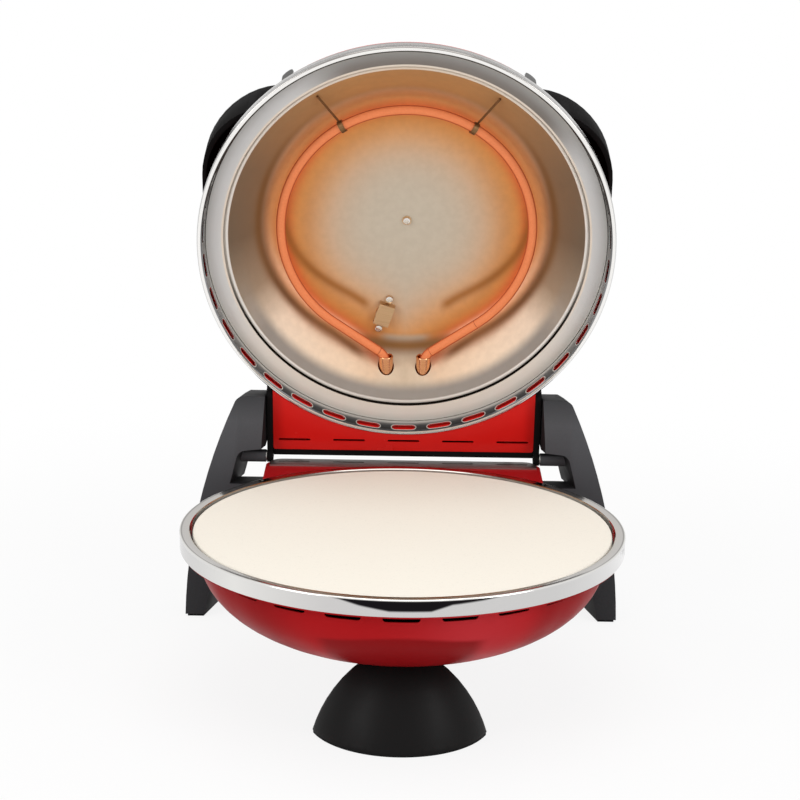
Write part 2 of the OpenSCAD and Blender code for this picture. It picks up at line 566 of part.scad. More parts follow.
// ---- lid ----
module lid_shell() color([0.78, 0.12, 0.1]) on_lid() difference() {
    shell(box_w, lid_back, panel_z, lid_box_h, lid_round, lid_step_z);
    box_slots(lid_back - 9, 2);
    both_sides() for (y = arm_holes) translate([0, y, arm_hole_z]) rod_x(hole_r, box_w - 4, box_w + 4);
    both_sides() translate([stud.x, stud.y, lid_step_z]) cylinder(r = hole_r, h = dome_d);
}
module lid_ring() color([0.8, 0.8, 0.8]) on_lid() difference() {
    revolve(sheet(concat([[seat_r - 2, seat_z], [seat_r + 0.3, seat_z], [cone_r, 0.6], [cone_r + 0.6, 0],
        [ring_r - 1.2, 0]], arc([ring_r + bead - 1.1, 1.1], 1.1, -90, 0, 4),
        [[ring_r + bead, 1.8], [ring_r, 2.4], [ring_r, band_h]]), rim_t));
    for (i = [-16:16]) rotate([0, 0, i * rim_slot_a])
        translate([0, cone_r + rim_t + fit, rim_slot_z]) rotate([-90, 0, 0]) slot(rim_slot_l, rim_slot_w, 12);
}
module lid_flange() color([0.84, 0.82, 0.78]) on_lid() translate([0, 0, seat_z - pan_t]) difference() {
    cylinder(r = seat_r, h = pan_t, $fn = fine);
    translate([0, 0, -1]) cylinder(r = flange_in, h = pan_t + 2, $fn = fine);
}
lip_end = pan_mouth_r + 2 * lip_r;
lip_back = mouth_z + 1.4;
module lid_pan() color([0.76, 0.72, 0.66]) on_lid() difference() {
    revolve(sheet(concat([[0, lid_pan_d]],
        fillet([0, lid_pan_d], [pan_floor_r, lid_pan_d], [pan_mouth_r, mouth_z], pan_bend),
        arc([pan_mouth_r + lip_r, mouth_z], lip_r, 180, 360, 8),
        [[lip_end, lip_back], [lip_end + 2.3, lip_back], [lip_end + 3.2, seat_z], [seat_r - 2.6, seat_z]]),
        pan_t));
    translate([0, 0, lid_pan_d]) cylinder(r = hole_r, h = 10, center = true);
    both_sides() translate([end_x, 0, upper_loop_z]) rod_y(sleeve_hole_r, pan_floor_r, pan_mouth_r);
    at_sensor() for (y = [-sensor_hole_y, sensor_hole_y]) translate([0, y, -5])
        cylinder(r = small_screw_r + fit, h = 10);
}
module lid_pan_spacer() color([0.7, 0.7, 0.68]) on_lid() difference() {
    translate([0, 0, lid_pan_d + pan_t]) cylinder(r = 5, h = pole_z - shell_t - seat_gap - lid_pan_d - pan_t);
    translate([0, 0, lid_pan_d]) cylinder(r = hole_r, h = 16);
}
module lid_pan_screw() color([0.7, 0.7, 0.7]) on_lid() translate([0, 0, lid_pan_d]) mirror([0, 0, 1]) {
    cylinder(r = 3.8, h = 0.8);
    screw(small_screw_r, 14);
}
sensor_a = 12;
sensor_in = 16.1;
sensor_hole_y = 13.8;
strap_l = 17.8;
strap_tab = 6;
strap_t = 0.9;
module at_sensor() rotate([0, 0, sensor_a]) translate([0, loop_r - sensor_in, lid_pan_d])
    rotate([0, 0, sensor_a / 2]) children();
module sensor() color([0.75, 0.68, 0.6]) on_lid() at_sensor() translate([0, 0, -5]) cylinder(r = 7, h = 5);
module sensor_strap() color([0.85, 0.78, 0.7]) on_lid() at_sensor() difference() {
    intersection() {
        along_x(-7, 7, sheet([[-sensor_hole_y - 3, -seat_gap / 2], [-strap_l / 2, -seat_gap / 2],
            [0.6 - strap_l / 2, -5.2], [strap_l / 2 - 0.6, -5.2], [strap_l / 2, -seat_gap / 2],
            [sensor_hole_y + 3, -seat_gap / 2]], -strap_t));
        union() {
            cube([13, strap_l + 2 * strap_t, 20], center = true);
            translate([0, 0, 5]) rotate([0, 0, 90]) slot(2 * sensor_hole_y + strap_tab, strap_tab, 20);
        }
    }
    for (y = [-sensor_hole_y, sensor_hole_y]) translate([0, y, -5]) cylinder(r = small_screw_r + fit, h = 10);
}
module sensor_screws() color([0.7, 0.62, 0.52]) on_lid() at_sensor() for (y = [-sensor_hole_y, sensor_hole_y])
    translate([0, y, -strap_t - seat_gap / 2]) mirror([0, 0, 1]) screw(small_screw_r, 8);
module arm() difference() {
    union() {
        along_x(arm_x, base_box_w, rounded([[arm_y, panel_z, 6], [lid_back + cover_t + 0.5, panel_z, 0],
            [lid_back + cover_t + 0.5, lid_box_h + 3, 14], [arm_y, lid_box_h + 3, 20]]));
        along_x(arm_x, base_box_w, [[hinge_y - 10, panel_z], [hinge_y + eye_r - 0.2, panel_z],
            [lid_back + cover_t, 28], [hinge_y - 10, 28]]);
        translate([0, hinge_y, hinge_dz]) rod_x(eye_r, arm_x, base_box_w);
    }
    translate([0, hinge_y, hinge_dz]) rod_x(pin_r + run, arm_x - 1, base_box_w + 1);
    for (y = arm_holes) translate([0, y, arm_hole_z]) {
        rod_x(hole_r, arm_x - 1, base_box_w + 1);
        rod_x(2 * screw_r + fit, base_box_w - 2, base_box_w + 1);
    }
}
module arm_left() color([0.1, 0.1, 0.1]) on_lid() mirror([1, 0, 0]) arm();
module arm_right() color([0.1, 0.1, 0.1]) on_lid() arm();
module arm_screws() color([0.5, 0.5, 0.5]) on_lid() both_sides() for (y = arm_holes)
    translate([base_box_w - 2, y, arm_hole_z]) rotate([0, 90, 0]) screw(screw_r, arm_t + 3);
module lid_rear_cover() color([0.1, 0.1, 0.1]) on_lid() difference() {
    translate([0, lid_back, 0]) rear_cover(box_w, panel_z, lid_box_h - box_round, 1);
    both_sides() translate([box_w - cover_screw_in, 0, cover_screw_z(panel_z, lid_box_h)])
        rod_y(cover_screw_r + fit, lid_back - 1, lid_back + cover_t + 1);
}
module lid_cover_screws() color([0.5, 0.5, 0.5]) on_lid() both_sides()
    translate([box_w - cover_screw_in, lid_back + cover_t, cover_screw_z(panel_z, lid_box_h)]) cover_screw();
// Rounded steel lugs that stand on the step behind the rim
lug_r = 5;
lug_h = 22;
lug_t = 1.5;
lug_foot = 7;
module rim_lugs() color([0.4, 0.4, 0.4]) on_lid() for (a = [-36, 36]) rotate([0, 0, a])
    translate([0, -bowl_r - 2, lid_step_z]) {
        translate([-lug_r, -lug_foot, 0]) cube([2 * lug_r, lug_foot, lug_t]);
        translate([0, lug_t - lug_foot, 0]) rotate([90, 0, 0]) linear_extrude(lug_t)
            polygon(concat([[-lug_r, 0], [lug_r, 0]], arc([0, lug_h], lug_r, 0, 180)));
    }

// ---- handle and controls ----
function handle_plan(w, front, end, inner_w, inner_front) = let (tip = (w - inner_w) / 2 - 0.1) rounded([
    [-w, end, tip], [-w, -front, corner_r], [w, -front, corner_r], [w, end, tip],
    [inner_w, end, tip], [inner_w, -inner_front, 34], [-inner_w, -inner_front, 34],
    [-inner_w, end, tip]], 12);
module handle_solid(inset, low) intersection() {
    translate([0, 0, low]) linear_extrude(far) polygon(handle_plan(handle_w - inset, handle_front - inset,
        handle_end - inset, pod_in + inset, handle_front - bar_w + inset));
    translate([0, 0, bar_top - arch_r - inset]) rotate([90, 0, 0])
        cylinder(r = arch_r, h = far, center = true, $fn = 240);
}
module handle() color([0.09, 0.09, 0.09]) on_lid() difference() {
    union() {
        difference() {
            handle_solid(0, pod_low);
            difference() {
                handle_solid(wall, pod_low - 1);
                cube([2 * pod_in - 20, far, far], center = true);
            }
            along_y(-far / 2, far / 2, rounded([[-pod_in - 2, pod_low - 9, 0], [pod_in + 2, pod_low - 9, 0],
                [pod_in - 16, bar_top - bar_t - 10, 24], [0, bar_top - bar_t + 4, 400],
                [16 - pod_in, bar_top - bar_t - 10, 24]]));
        }
        intersection() {
            handle_solid(0, lid_step_z);
            both_sides() {
                translate([stud.x - 5, wall - handle_front, 20]) cube([pod_in + 2 - stud.x + 5, 22, 80]);
                translate([knob_x, knob_y, pod_low + 8]) cylinder(r = 9, h = 80);
            }
        }
    }
    dome(fit, lid_step_z);
    both_sides() translate([knob_x, knob_y, pod_low]) cylinder(r = shaft_r + run, h = far);
    both_sides() translate([stud.x, stud.y, lid_step_z])
        cylinder(r = hole_r, h = dome_z(stud_r, 0) + stud_l - lid_step_z);
    translate([knob_x, lamp_y, pod_low]) cylinder(r = lamp_r + run, h = far);
}
module handle_screws() color([0.6, 0.6, 0.6]) on_lid() both_sides()
    translate([stud.x, stud.y, dome_z(stud_r + 3.4, shell_t) - fit]) mirror([0, 0, 1])
        screw(screw_r, 10 * screw_r);
module knob() translate([knob_x, knob_y, 0]) {
    translate([0, 0, knob_z]) cylinder(d = knob_d, h = 4);
    difference() {
        translate([0, 0, knob_z + 4]) cylinder(d1 = knob_d - 2, d2 = knob_d - 5, h = knob_h - 4);
        for (s = [0, 180]) rotate([0, 0, s]) translate([4, -knob_d, knob_z + 6])
            cube([knob_d, 2 * knob_d, knob_h]);
    }
    translate([0, 0, pod_low + 12]) cylinder(r = shaft_r, h = knob_z - pod_low - 11);
}
module thermostat_knob() color([0.15, 0.15, 0.15]) on_lid() knob();
module timer_knob() color([0.15, 0.15, 0.15]) on_lid() mirror([1, 0, 0]) knob();
module pilot_lamp() color([0.9, 0.5, 0.1]) on_lid() translate([knob_x, lamp_y, pod_top - 12])
    cylinder(r = lamp_r, h = 16);

base_shell();
base_ring();
stone();
base_pan();
base_pan_spacer();
base_pan_screw();
lower_element();
lower_terminals();
lower_clips();
deck_plate();
base_rear_cover();
base_cover_screws();
cord_gland();
terminal_block();
front_foot();
foot_pad();
foot_screws();
leg_left();
leg_right();
leg_pads();
leg_screws();
hinge_pins();
hinge_washers();
lid_shell();
lid_ring();
lid_flange();
lid_pan();
lid_pan_spacer();
lid_pan_screw();
upper_element();
upper_terminals();
upper_clips();
sensor();
sensor_strap();
sensor_screws();
arm_left();
arm_right();
arm_screws();
lid_rear_cover();
lid_cover_screws();
rim_lugs();
handle();
handle_screws();
pilot_lamp();
thermostat_knob();
timer_knob();
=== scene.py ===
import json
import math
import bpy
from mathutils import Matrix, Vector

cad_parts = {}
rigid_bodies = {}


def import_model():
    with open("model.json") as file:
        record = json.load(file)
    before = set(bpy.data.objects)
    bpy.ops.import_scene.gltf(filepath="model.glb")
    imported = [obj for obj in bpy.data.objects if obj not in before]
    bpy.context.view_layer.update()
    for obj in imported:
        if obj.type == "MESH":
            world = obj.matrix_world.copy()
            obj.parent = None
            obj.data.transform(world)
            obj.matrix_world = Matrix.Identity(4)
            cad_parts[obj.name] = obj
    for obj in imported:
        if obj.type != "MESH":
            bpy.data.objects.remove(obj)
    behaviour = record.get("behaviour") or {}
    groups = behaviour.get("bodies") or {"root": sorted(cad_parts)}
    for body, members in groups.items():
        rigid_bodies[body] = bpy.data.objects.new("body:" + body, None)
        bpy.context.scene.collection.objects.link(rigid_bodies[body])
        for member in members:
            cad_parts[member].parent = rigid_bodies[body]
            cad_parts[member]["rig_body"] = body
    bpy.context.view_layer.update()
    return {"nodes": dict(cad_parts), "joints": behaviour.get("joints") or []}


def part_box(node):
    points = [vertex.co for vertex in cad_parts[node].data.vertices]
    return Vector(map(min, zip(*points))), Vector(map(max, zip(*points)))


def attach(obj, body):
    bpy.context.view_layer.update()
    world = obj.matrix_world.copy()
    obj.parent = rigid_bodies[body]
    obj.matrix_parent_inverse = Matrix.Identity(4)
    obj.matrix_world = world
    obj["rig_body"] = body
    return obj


bl_info = {
    "name": "Countertop pizza oven",
    "version": (1, 0, 0),
    "blender": (4, 5, 0),
    "location": "View3D > Sidebar > Pizza oven",
    "description": "Finishes and detail pieces of a countertop pizza oven on its packed frame",
    "category": "Object",
}

import bmesh
import bpy
from bpy.props import FloatProperty, FloatVectorProperty, PointerProperty
from mathutils import Matrix, Quaternion, Vector
from mathutils.bvhtree import BVHTree

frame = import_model()
NODES = frame["nodes"]
JOINTS = {joint["name"]: joint for joint in frame["joints"]}

# ---- sizes: millimetres and degrees, unless a line names another unit ----
MM = 0.001  # metres in a millimetre
PER_METRE = 1000.0  # millimetres in a metre

# the slots in the wall of the lid's rim
SLOT_STEP = 10.43
SLOT_RADIUS = 160.0
SLOT_UP = 4.3  # of a slot's middle line above the rim plane
SLOT_HALF = 6.6  # from a slot's middle to the centre of its round end

# the lid's heating loop: a circle whose last part on each side runs straight to the rear
LOOP_RADIUS = 100.5
LOOP_LEAVE = 35.0  # how far before the rear the circle ends
LOOP_END = 15.3  # from the middle to the centre of each end
LOOP_DEPTH = 40.0  # above the rim plane
LOOP_SLIM = 0.5  # off the tube's radius
LOOP_WELD = 0.05
SLEEVE_BACK = 112.0  # where the sleeves start, behind the middle
SLEEVE_OUTLINE = ((4.6, 13.0), (4.6, 0.5), (5.1, 0.0), (5.5, 0.0), (5.9, 0.5), (5.7, 13.0))

# mesh clean-up and rounding
WELD = 0.002  # corners closer than this become one
ON_TOP = 0.01  # corners this close to the highest one are on the same face
SHARP_ANGLE = 28.0  # edges sharper than this stay sharp in the shading
FLAT_ANGLE = 0.5  # faces that turn by less than this become one
ROUND_ANGLE = 35.0  # edges sharper than this are rounded
TURNED_STEPS = 48  # corners round a turned piece

# a screw head, as shares of its radius or its height
HEAD_RINGS = (0.24, 0.42, 0.6, 0.8, 0.94, 1.0)
HEAD_COVER = 0.98  # of the radius of the head below it
HEAD_HEIGHT = 0.28  # of that radius
HEAD_EDGE = 0.2  # of the height, at the dome's outer edge
HEAD_SINK = 0.3  # of the height, into the head below it
RECESS_HALF = 0.13  # half of the width of one arm of the cross
RECESS_DEPTH = 0.6
RECESS_RINGS = 2  # rings of faces that the cross reaches into
QUARTER_STEPS = 4  # faces of a ring between two arms of the cross
FIRST_TURN, NEXT_TURN = 0.4, 0.7  # of the first cross and of each next one, in radians

# the knobs' pointers and the marks on the handle: across, along and thick
POINTER = (1.2, 6.0, 0.3)
POINTER_IN = 4.5  # from the end of the grip to the pointer's middle
MARK_RADIUS = 19.4
MARK_TURN = 13.0
MARK_SIDE = 4  # marks on each side of the middle one
SHORT_MARK = (0.6, 2.0, 0.25)
LONG_MARK = (0.6, 3.0, 0.25)
MARK_SINK = 0.05
RAY_UP = 20.0  # over the knob's top, from where the handle's face is sought
SLAB_EDGE = 0.08

# how slowly brushed lines change along their length
ROUND_LINES = 0.05  # for each degree
STRAIGHT_LINES = 0.02  # for each millimetre

# ---- where things are, from the frame, in metres ----
RIM_LOW, RIM_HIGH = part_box("base_ring")
RING_CENTRE = Vector((0, (RIM_LOW.y + RIM_HIGH.y) / 2, RIM_HIGH.z))
HINGE = Vector(JOINTS["lid_hinge"]["pos_m"])
LID_TURN = -math.radians(max(JOINTS["lid_hinge"]["range_deg"]))
RIM_GAP = 0.8 * MM  # between the two rims when the lid is shut
# the bowl's own frame: its rim plane at z = 0, its middle at the origin
BASE = Matrix.Translation(RING_CENTRE)
# the lid's own frame as it stands open: its rim plane at z = 0, its middle at the origin, its
# dome above
LID = (
    Matrix.Translation(HINGE)
    @ Matrix.Rotation(LID_TURN, 4, "X")
    @ Matrix.Translation((0, RING_CENTRE.y - HINGE.y, RIM_GAP - (HINGE.z - RING_CENTRE.z)))
)
LEG_TOP = (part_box("leg_left")[1].z - RING_CENTRE.z) / MM  # millimetres, in the bowl's frame
REARWARD = Vector((0, 1, 0))
INTO_LID = LID.to_3x3() @ Vector((0, 0, -1))
BEHIND_LID = LID.to_3x3() @ REARWARD


# ---- shader helpers ----
def put(tree, kind, values=None, **settings):
    """A new node. values are constants or sockets for its inputs, by name or place."""
    node = tree.nodes.new(kind)
    for key, value in settings.items():
        setattr(node, key, value)
    for key, value in (values or {}).items():
        if isinstance(value, bpy.types.NodeSocket):
            tree.links.new(value, node.inputs[key])
        else:
            node.inputs[key].default_value = value
    return node


def maths(tree, operation, *values):
    """The result of a Math node with these values."""
    return put(tree, "ShaderNodeMath", dict(enumerate(values)), operation=operation).outputs[0]


def times(tree, first, *others):
    """The product of the values."""
    for value in others:
        first = maths(tree, "MULTIPLY", first, value)
    return first


def less(tree, a, b):
    """a without b."""
    return maths(tree, "SUBTRACT", a, b)


def unsigned(tree, value):
    """The value without its sign."""
    return maths(tree, "ABSOLUTE", value)


def between(tree, value, low, high, to_low=0.0, to_high=1.0):
    """value mapped smoothly from low..high to to_low..to_high."""
    return put(tree, "ShaderNodeMapRange", {
        "Value": value, "From Min": low, "From Max": high, "To Min": to_low, "To Max": to_high,
    }, interpolation_type="SMOOTHSTEP").outputs["Result"]


def hump(tree, value, centre, width):
    """1 at centre, falling smoothly to 0 on both sides."""
    off = maths(tree, "DIVIDE", less(tree, value, centre), width)
    return maths(tree, "EXPONENT", times(tree, off, off, -1.0))


def blended(tree, mask, a, b):
    """Colour a where mask is 0 and b where it is 1."""
    a, b = (c if isinstance(c, bpy.types.NodeSocket) else (*c, 1) for c in (a, b))
    return put(tree, "ShaderNodeMix", {0: mask, 6: a, 7: b}, data_type="RGBA").outputs[2]


def linear(*seen):
    """A colour from its 0 to 255 values as seen on a screen."""
    return tuple(
        v / 255 / 12.92 if v <= 10.31 else ((v / 255 + 0.055) / 1.055) ** 2.4 for v in seen
    )


def layered(tree, colour, tone, mask, *masks):
    """The colour with a tone, of 0 to 255 values, laid over it where all the masks are 1."""
    return blended(tree, times(tree, mask, *masks), colour, linear(*tone))


def ramp(tree, value, stops):
    """A colour that runs through stops, pairs of a value and a colour."""
    low, high = stops[0][0], stops[-1][0]
    share = put(tree, "ShaderNodeMapRange", {"Value": value, "From Min": low, "From Max": high})
    node = put(tree, "ShaderNodeValToRGB", {0: share.outputs["Result"]})
    elements = node.color_ramp.elements
    elements[0].color = (*stops[0][1], 1)
    elements[1].color = (*stops[-1][1], 1)
    for at, colour in stops[1:-1]:
        elements.new((at - low) / (high - low)).color = (*colour, 1)
    return node.outputs[0]


def banded(tree, value, *stops):
    """A colour that runs through stops, pairs of a value and a colour of 0 to 255 values."""
    return ramp(tree, value, [(at, linear(*tone)) for at, tone in stops])


def profile(tree, value, *stops):
    """A number from 0 to 1 that runs through stops, pairs of a value and a number."""
    return ramp(tree, value, [(at, (share, share, share)) for at, share in stops])


def group(name, inputs, outputs):
    """A shader node group with these named sockets: (tree, its inputs, its output node)."""
    tree = bpy.data.node_groups.new(name, "ShaderNodeTree")
    for label, kind, value in inputs:
        socket = tree.interface.new_socket(label, in_out="INPUT", socket_type=kind)
        socket.default_value = value
    for label, kind in outputs:
        tree.interface.new_socket(label, in_out="OUTPUT", socket_type=kind)
    return tree, tree.nodes.new("NodeGroupInput").outputs, tree.nodes.new("NodeGroupOutput")


def build_groups():
    """The node groups that the finishes share."""
    number, vector = "NodeSocketFloat", "NodeSocketVector"

    tree, given, out = group(
        "Round Place",
        [("Centre", vector, (0, 0, 0)), ("Turn", vector, (0, 0, 0))],
        [(label, number) for label in ("Radius", "Height", "Angle", "Side", "Back")],
    )
    local = put(tree, "ShaderNodeMapping", {
        "Vector": put(tree, "ShaderNodeTexCoord").outputs["Object"],
        "Location": given["Centre"],
        "Rotation": given["Turn"],
    }, vector_type="TEXTURE").outputs[0]
    axes = put(tree, "ShaderNodeSeparateXYZ", {0: local}).outputs
    flat = put(tree, "ShaderNodeCombineXYZ", {0: axes[0], 1: axes[1]}).outputs[0]
    radius = put(tree, "ShaderNodeVectorMath", {0: flat}, operation="LENGTH").outputs["Value"]
    angle = maths(tree, "ARCTAN2", axes[0], times(tree, axes[1], -1.0))
    for label, value in (
        ("Radius", times(tree, radius, PER_METRE)),
        ("Height", times(tree, axes[2], PER_METRE)),
        ("Angle", maths(tree, "DEGREES", angle)),
        ("Side", times(tree, axes[0], PER_METRE)),
        ("Back", times(tree, axes[1], PER_METRE)),
    ):
        tree.links.new(value, out.inputs[label])

    tree, given, out = group("Fine Grain", [("Size", number, 1.0)], [("Height", number)])
    noise = put(tree, "ShaderNodeTexNoise", {
        "Vector": put(tree, "ShaderNodeTexCoord").outputs["Object"],
        "Scale": maths(tree, "DIVIDE", PER_METRE, given["Size"]),
        "Detail": 3.0,
        "Roughness": 0.6,
    })
    tree.links.new(noise.outputs[0], out.inputs["Height"])

    tree, given, out = group(
        "Soft Patches",
        [("Size", number, 60.0), ("Low", number, 0.0), ("High", number, 1.0)],
        [("Value", number)],
    )
    noise = put(tree, "ShaderNodeTexNoise", {
        "Vector": put(tree, "ShaderNodeTexCoord").outputs["Object"],
        "Scale": maths(tree, "DIVIDE", PER_METRE, given["Size"]),
        "Detail": 4.0,
    })
    value = between(tree, noise.outputs[0], 0.3, 0.7, given["Low"], given["High"])
    tree.links.new(value, out.inputs["Value"])

    tree, given, out = group(
        "Brushed Lines",
        [("Across", number, 0.0), ("Along", number, 0.0), ("Fineness", number, 3.0)],
        [("Value", number)],
    )
    across = times(tree, given["Across"], given["Fineness"])
    noise = put(tree, "ShaderNodeTexNoise", {
        "Vector": put(tree, "ShaderNodeCombineXYZ", {0: across, 1: given["Along"]}).outputs[0],
        "Scale": 1.0,
        "Detail": 3.0,
        "Roughness": 0.7,
    })
    tree.links.new(noise.outputs[0], out.inputs["Value"])


def use(tree, name, **values):
    """A placed node group: its outputs by name."""
    return put(tree, "ShaderNodeGroup", values, node_tree=bpy.data.node_groups[name]).outputs


def place(tree, matrix):
    """Radius, Height, Angle, Side and Back of the shaded point in the bowl's or lid's own frame.

    Millimetres, and degrees from the front, positive to the right and 180 at the rear.
    """
    return use(tree, "Round Place", Centre=matrix.translation, Turn=matrix.to_euler())


def grain(tree, size):
    """A fine height pattern."""
    return use(tree, "Fine Grain", Size=size)["Height"]


def patches(tree, size, low, high):
    """A value that drifts between low and high over patches of a size."""
    return use(tree, "Soft Patches", Size=size, Low=low, High=high)["Value"]


def brushed(tree, across, along, fineness):
    """Fine lines that run along and follow each other across."""
    return use(tree, "Brushed Lines", Across=across, Along=along, Fineness=fineness)["Value"]


def material(name, **settings):
    """A new material: (material, its tree, its Principled shader). Underscores are spaces."""
    made = bpy.data.materials.new(name)
    made.use_nodes = True
    shader = made.node_tree.nodes["Principled BSDF"]
    for key, value in settings.items():
        socket = shader.inputs[key.replace("_", " ")]
        socket.default_value = (*value, 1) if key.endswith("Color") else value
    return made, made.node_tree, shader


def feed(tree, shader, **sockets):
    """Links sockets to the shader's inputs of these names. Underscores are spaces."""
    for key, socket in sockets.items():
        tree.links.new(socket, shader.inputs[key.replace("_", " ")])


def bump(tree, shader, height, strength, distance):
    """Gives the shader a bump of a distance in millimetres."""
    values = {"Strength": strength, "Distance": distance * MM, "Height": height}
    feed(tree, shader, Normal=put(tree, "ShaderNodeBump", values).outputs[0])


# ---- finishes ----
def coated(name, rough, ior):
    """An enamelled surface: (material, tree, shader), its gloss slightly uneven."""
    made, tree, shader = material(name, IOR=ior)
    feed(tree, shader, Roughness=patches(tree, 25.0, *rough))
    bump(tree, shader, grain(tree, 4.0), 0.05, 0.1)
    return made, tree, shader


def bowl_enamel(oven):
    """Red enamel, with painted shade at the sides and under the bowl and a soft painted highlight
    beside the front.
    """
    made, tree, shader = coated("bowl red", (0.36, 0.46), 1.12)
    at = place(tree, BASE)
    angle = at["Angle"]
    red = Vector(oven.bowl_red)
    side_shade, lit, shaded = red * 0.74, red * 1.2 + Vector((0.03, 0.016, 0.02)), red * 0.68
    # painted shade at the sides
    sides = maths(
        tree, "MAXIMUM", between(tree, angle, -22.0, -44.0), between(tree, angle, 33.0, 44.0)
    )
    front = blended(tree, sides, red * 1.1, side_shade)
    # a soft painted highlight beside the front
    front = blended(tree, hump(tree, angle, 20.0, 15.0), front, lit)
    # painted shade low on the front, under the bowl
    sag = times(tree, hump(tree, angle, 0.0, 16.0), 6.0)
    under = between(tree, less(tree, at["Height"], sag), -38.0, -42.0)
    middle = between(tree, unsigned(tree, angle), 20.0, 26.0, 1.0, 0.0)
    front = blended(tree, times(tree, under, middle), front, shaded)
    rear = between(tree, at["Back"], 40.0, 120.0)
    feed(tree, shader, Base_Color=blended(tree, rear, front, red))
    return made


def lid_enamel(oven):
    """Red enamel with slightly uneven colour, and painted shade towards the sides."""
    made, tree, shader = coated("lid red", (0.2, 0.28), 1.25)
    red = Vector(oven.lid_red)
    colour = blended(tree, patches(tree, 90.0, 0.0, 0.6), red, red * 0.86)
    # painted shade towards the sides
    edge = between(tree, unsigned(tree, place(tree, LID)["Side"]), 96.0, 104.0)
    feed(tree, shader, Base_Color=blended(tree, edge, colour, red * 0.8))
    return made


def steel(name, tone, dark, matrix, rough, around=True):
    """Brushed metal, its lines round the frame's axis or straight from side to side."""
    made, tree, shader = material(name, Metallic=1.0)
    at = place(tree, matrix)
    across = at["Radius"] if around else at["Back"]
    along = (at["Angle"], ROUND_LINES) if around else (at["Side"], STRAIGHT_LINES)
    lines = brushed(tree, across, times(tree, *along), 3.0)
    colour = blended(tree, lines, linear(*tone), linear(*dark))
    feed(tree, shader, Base_Color=colour, Roughness=patches(tree, 40.0, *rough))
    bump(tree, shader, lines, 0.12, 0.05)
    return made


def shiny(name, rough):
    """A bright plated surface: (material, tree, shader)."""
    made, tree, shader = material(name, Metallic=1.0)
    feed(tree, shader, Roughness=patches(tree, 30.0, *rough))
    return made, tree, shader


def base_chrome():
    """Chrome whose colours are painted reflections, with a painted dark reflection at the front of
    its band and along the edge of its top.
    """
    made, tree, shader = shiny("base chrome", (0.08, 0.14))
    at = place(tree, BASE)
    angle, radius = at["Angle"], at["Radius"]
    # painted reflections round the band: lighter and darker patches
    band = banded(
        tree, angle,
        (-80, (192, 191, 191)), (-45, (230, 229, 226)), (-18, (206, 204, 203)),
        (40, (206, 205, 204)), (80, (232, 231, 231)), (100, (200, 200, 200)),
    )
    # how far down the painted dark reflection hangs from the top edge: deepest in the middle
    depth = profile(
        tree, angle,
        (-19, 0.0), (-15, 0.2), (-10, 0.62), (-3, 1.0), (7, 1.0), (12, 0.5), (20, 0.3), (27, 0.0),
    )
    depth = times(tree, depth, 8.4)
    dark_reflection = between(tree, maths(tree, "ADD", at["Height"], depth), -0.9, 0.9)
    band = layered(tree, band, (25, 23, 25), dark_reflection, between(tree, depth, 0.2, 1.6))
    # the top, from the gap round the stone to the outer edge: painted shade by the gap, painted
    # dark reflections, and a painted highlight on the bead at the outer edge
    sides = banded(
        tree, radius,
        (156.4, (178, 174, 168)), (161.8, (178, 174, 170)), (162.9, (112, 109, 104)),
        (163.6, (212, 210, 206)), (164.4, (226, 225, 223)),
    )
    front = banded(
        tree, radius,
        (156.4, (88, 80, 70)), (158.0, (52, 46, 40)), (160.8, (142, 138, 131)),
        (162.8, (58, 54, 50)), (163.4, (240, 238, 232)), (164.4, (228, 226, 222)),
    )
    top = blended(tree, hump(tree, angle, 0.0, 24.0), sides, front)
    on_top = between(tree, at["Height"], -1.3, -0.7)
    feed(tree, shader, Base_Color=blended(tree, on_top, band, top))
    return made


def lid_chrome():
    """Chrome rim whose colours are painted reflections, with a painted highlight on its lip and
    painted highlights round the slots of its wall.
    """
    made, tree, shader = shiny("lid chrome", (0.1, 0.18))
    at = place(tree, LID)
    height, radius, angle = at["Height"], at["Radius"], at["Angle"]
    away = unsigned(tree, angle)
    turn = less(tree, 180.0, away)
    # the wall, from the rim plane up to the lip, at the rear and at the sides: painted
    # reflections, dark low down and bright near the lip
    rear = banded(
        tree, height,
        (0.4, (70, 70, 72)), (1.6, (48, 49, 52)), (6.0, (72, 74, 78)), (8.6, (120, 121, 124)),
        (10.4, (196, 196, 197)), (12.5, (240, 239, 238)), (14.0, (214, 212, 209)),
    )
    sides = banded(
        tree, height,
        (0.4, (150, 150, 151)), (3.0, (168, 168, 169)), (8.0, (196, 196, 197)),
        (11.0, (236, 236, 235)), (14.0, (222, 220, 217)),
    )
    wall = blended(tree, between(tree, turn, 36.0, 84.0), rear, sides)
    # how far it is to the middle line of the nearest slot
    along = maths(
        tree, "FLOORED_MODULO", maths(tree, "ADD", turn, SLOT_STEP / 2), SLOT_STEP
    )
    along = unsigned(tree, less(tree, along, SLOT_STEP / 2))
    along = times(tree, along, math.radians(SLOT_RADIUS))
    past = maths(tree, "MAXIMUM", less(tree, along, SLOT_HALF), 0.0)
    up = less(tree, height, SLOT_UP)
    squares = maths(tree, "ADD", maths(tree, "POWER", past, 2.0), maths(tree, "POWER", up, 2.0))
    # painted highlights round the slots
    outline = between(tree, maths(tree, "SQRT", squares), 4.1, 3.5)
    wall = layered(
        tree, wall, (216, 214, 212), outline, between(tree, turn, 169.0, 171.0, 1.0, 0.0)
    )
    # a painted dark reflection on the wall towards the front
    wall = layered(tree, wall, (58, 52, 48), between(tree, away, 70.0, 110.0, 1.0, 0.0))
    # the lip: painted reflections that change round it, and a painted highlight along its outer
    # edge
    lip = banded(
        tree, angle,
        (-180, (206, 206, 206)), (-140, (240, 240, 239)), (-90, (214, 213, 212)),
        (-20, (150, 146, 142)), (20, (150, 146, 142)), (90, (216, 215, 214)),
        (150, (236, 236, 236)), (180, (206, 206, 206)),
    )
    lip = blended(tree, between(tree, radius, 163.2, 163.6), linear(246, 244, 241), lip)
    inner = between(tree, radius, 161.5, 160.9)
    feed(tree, shader, Base_Color=blended(tree, inner, lip, wall))
    return made


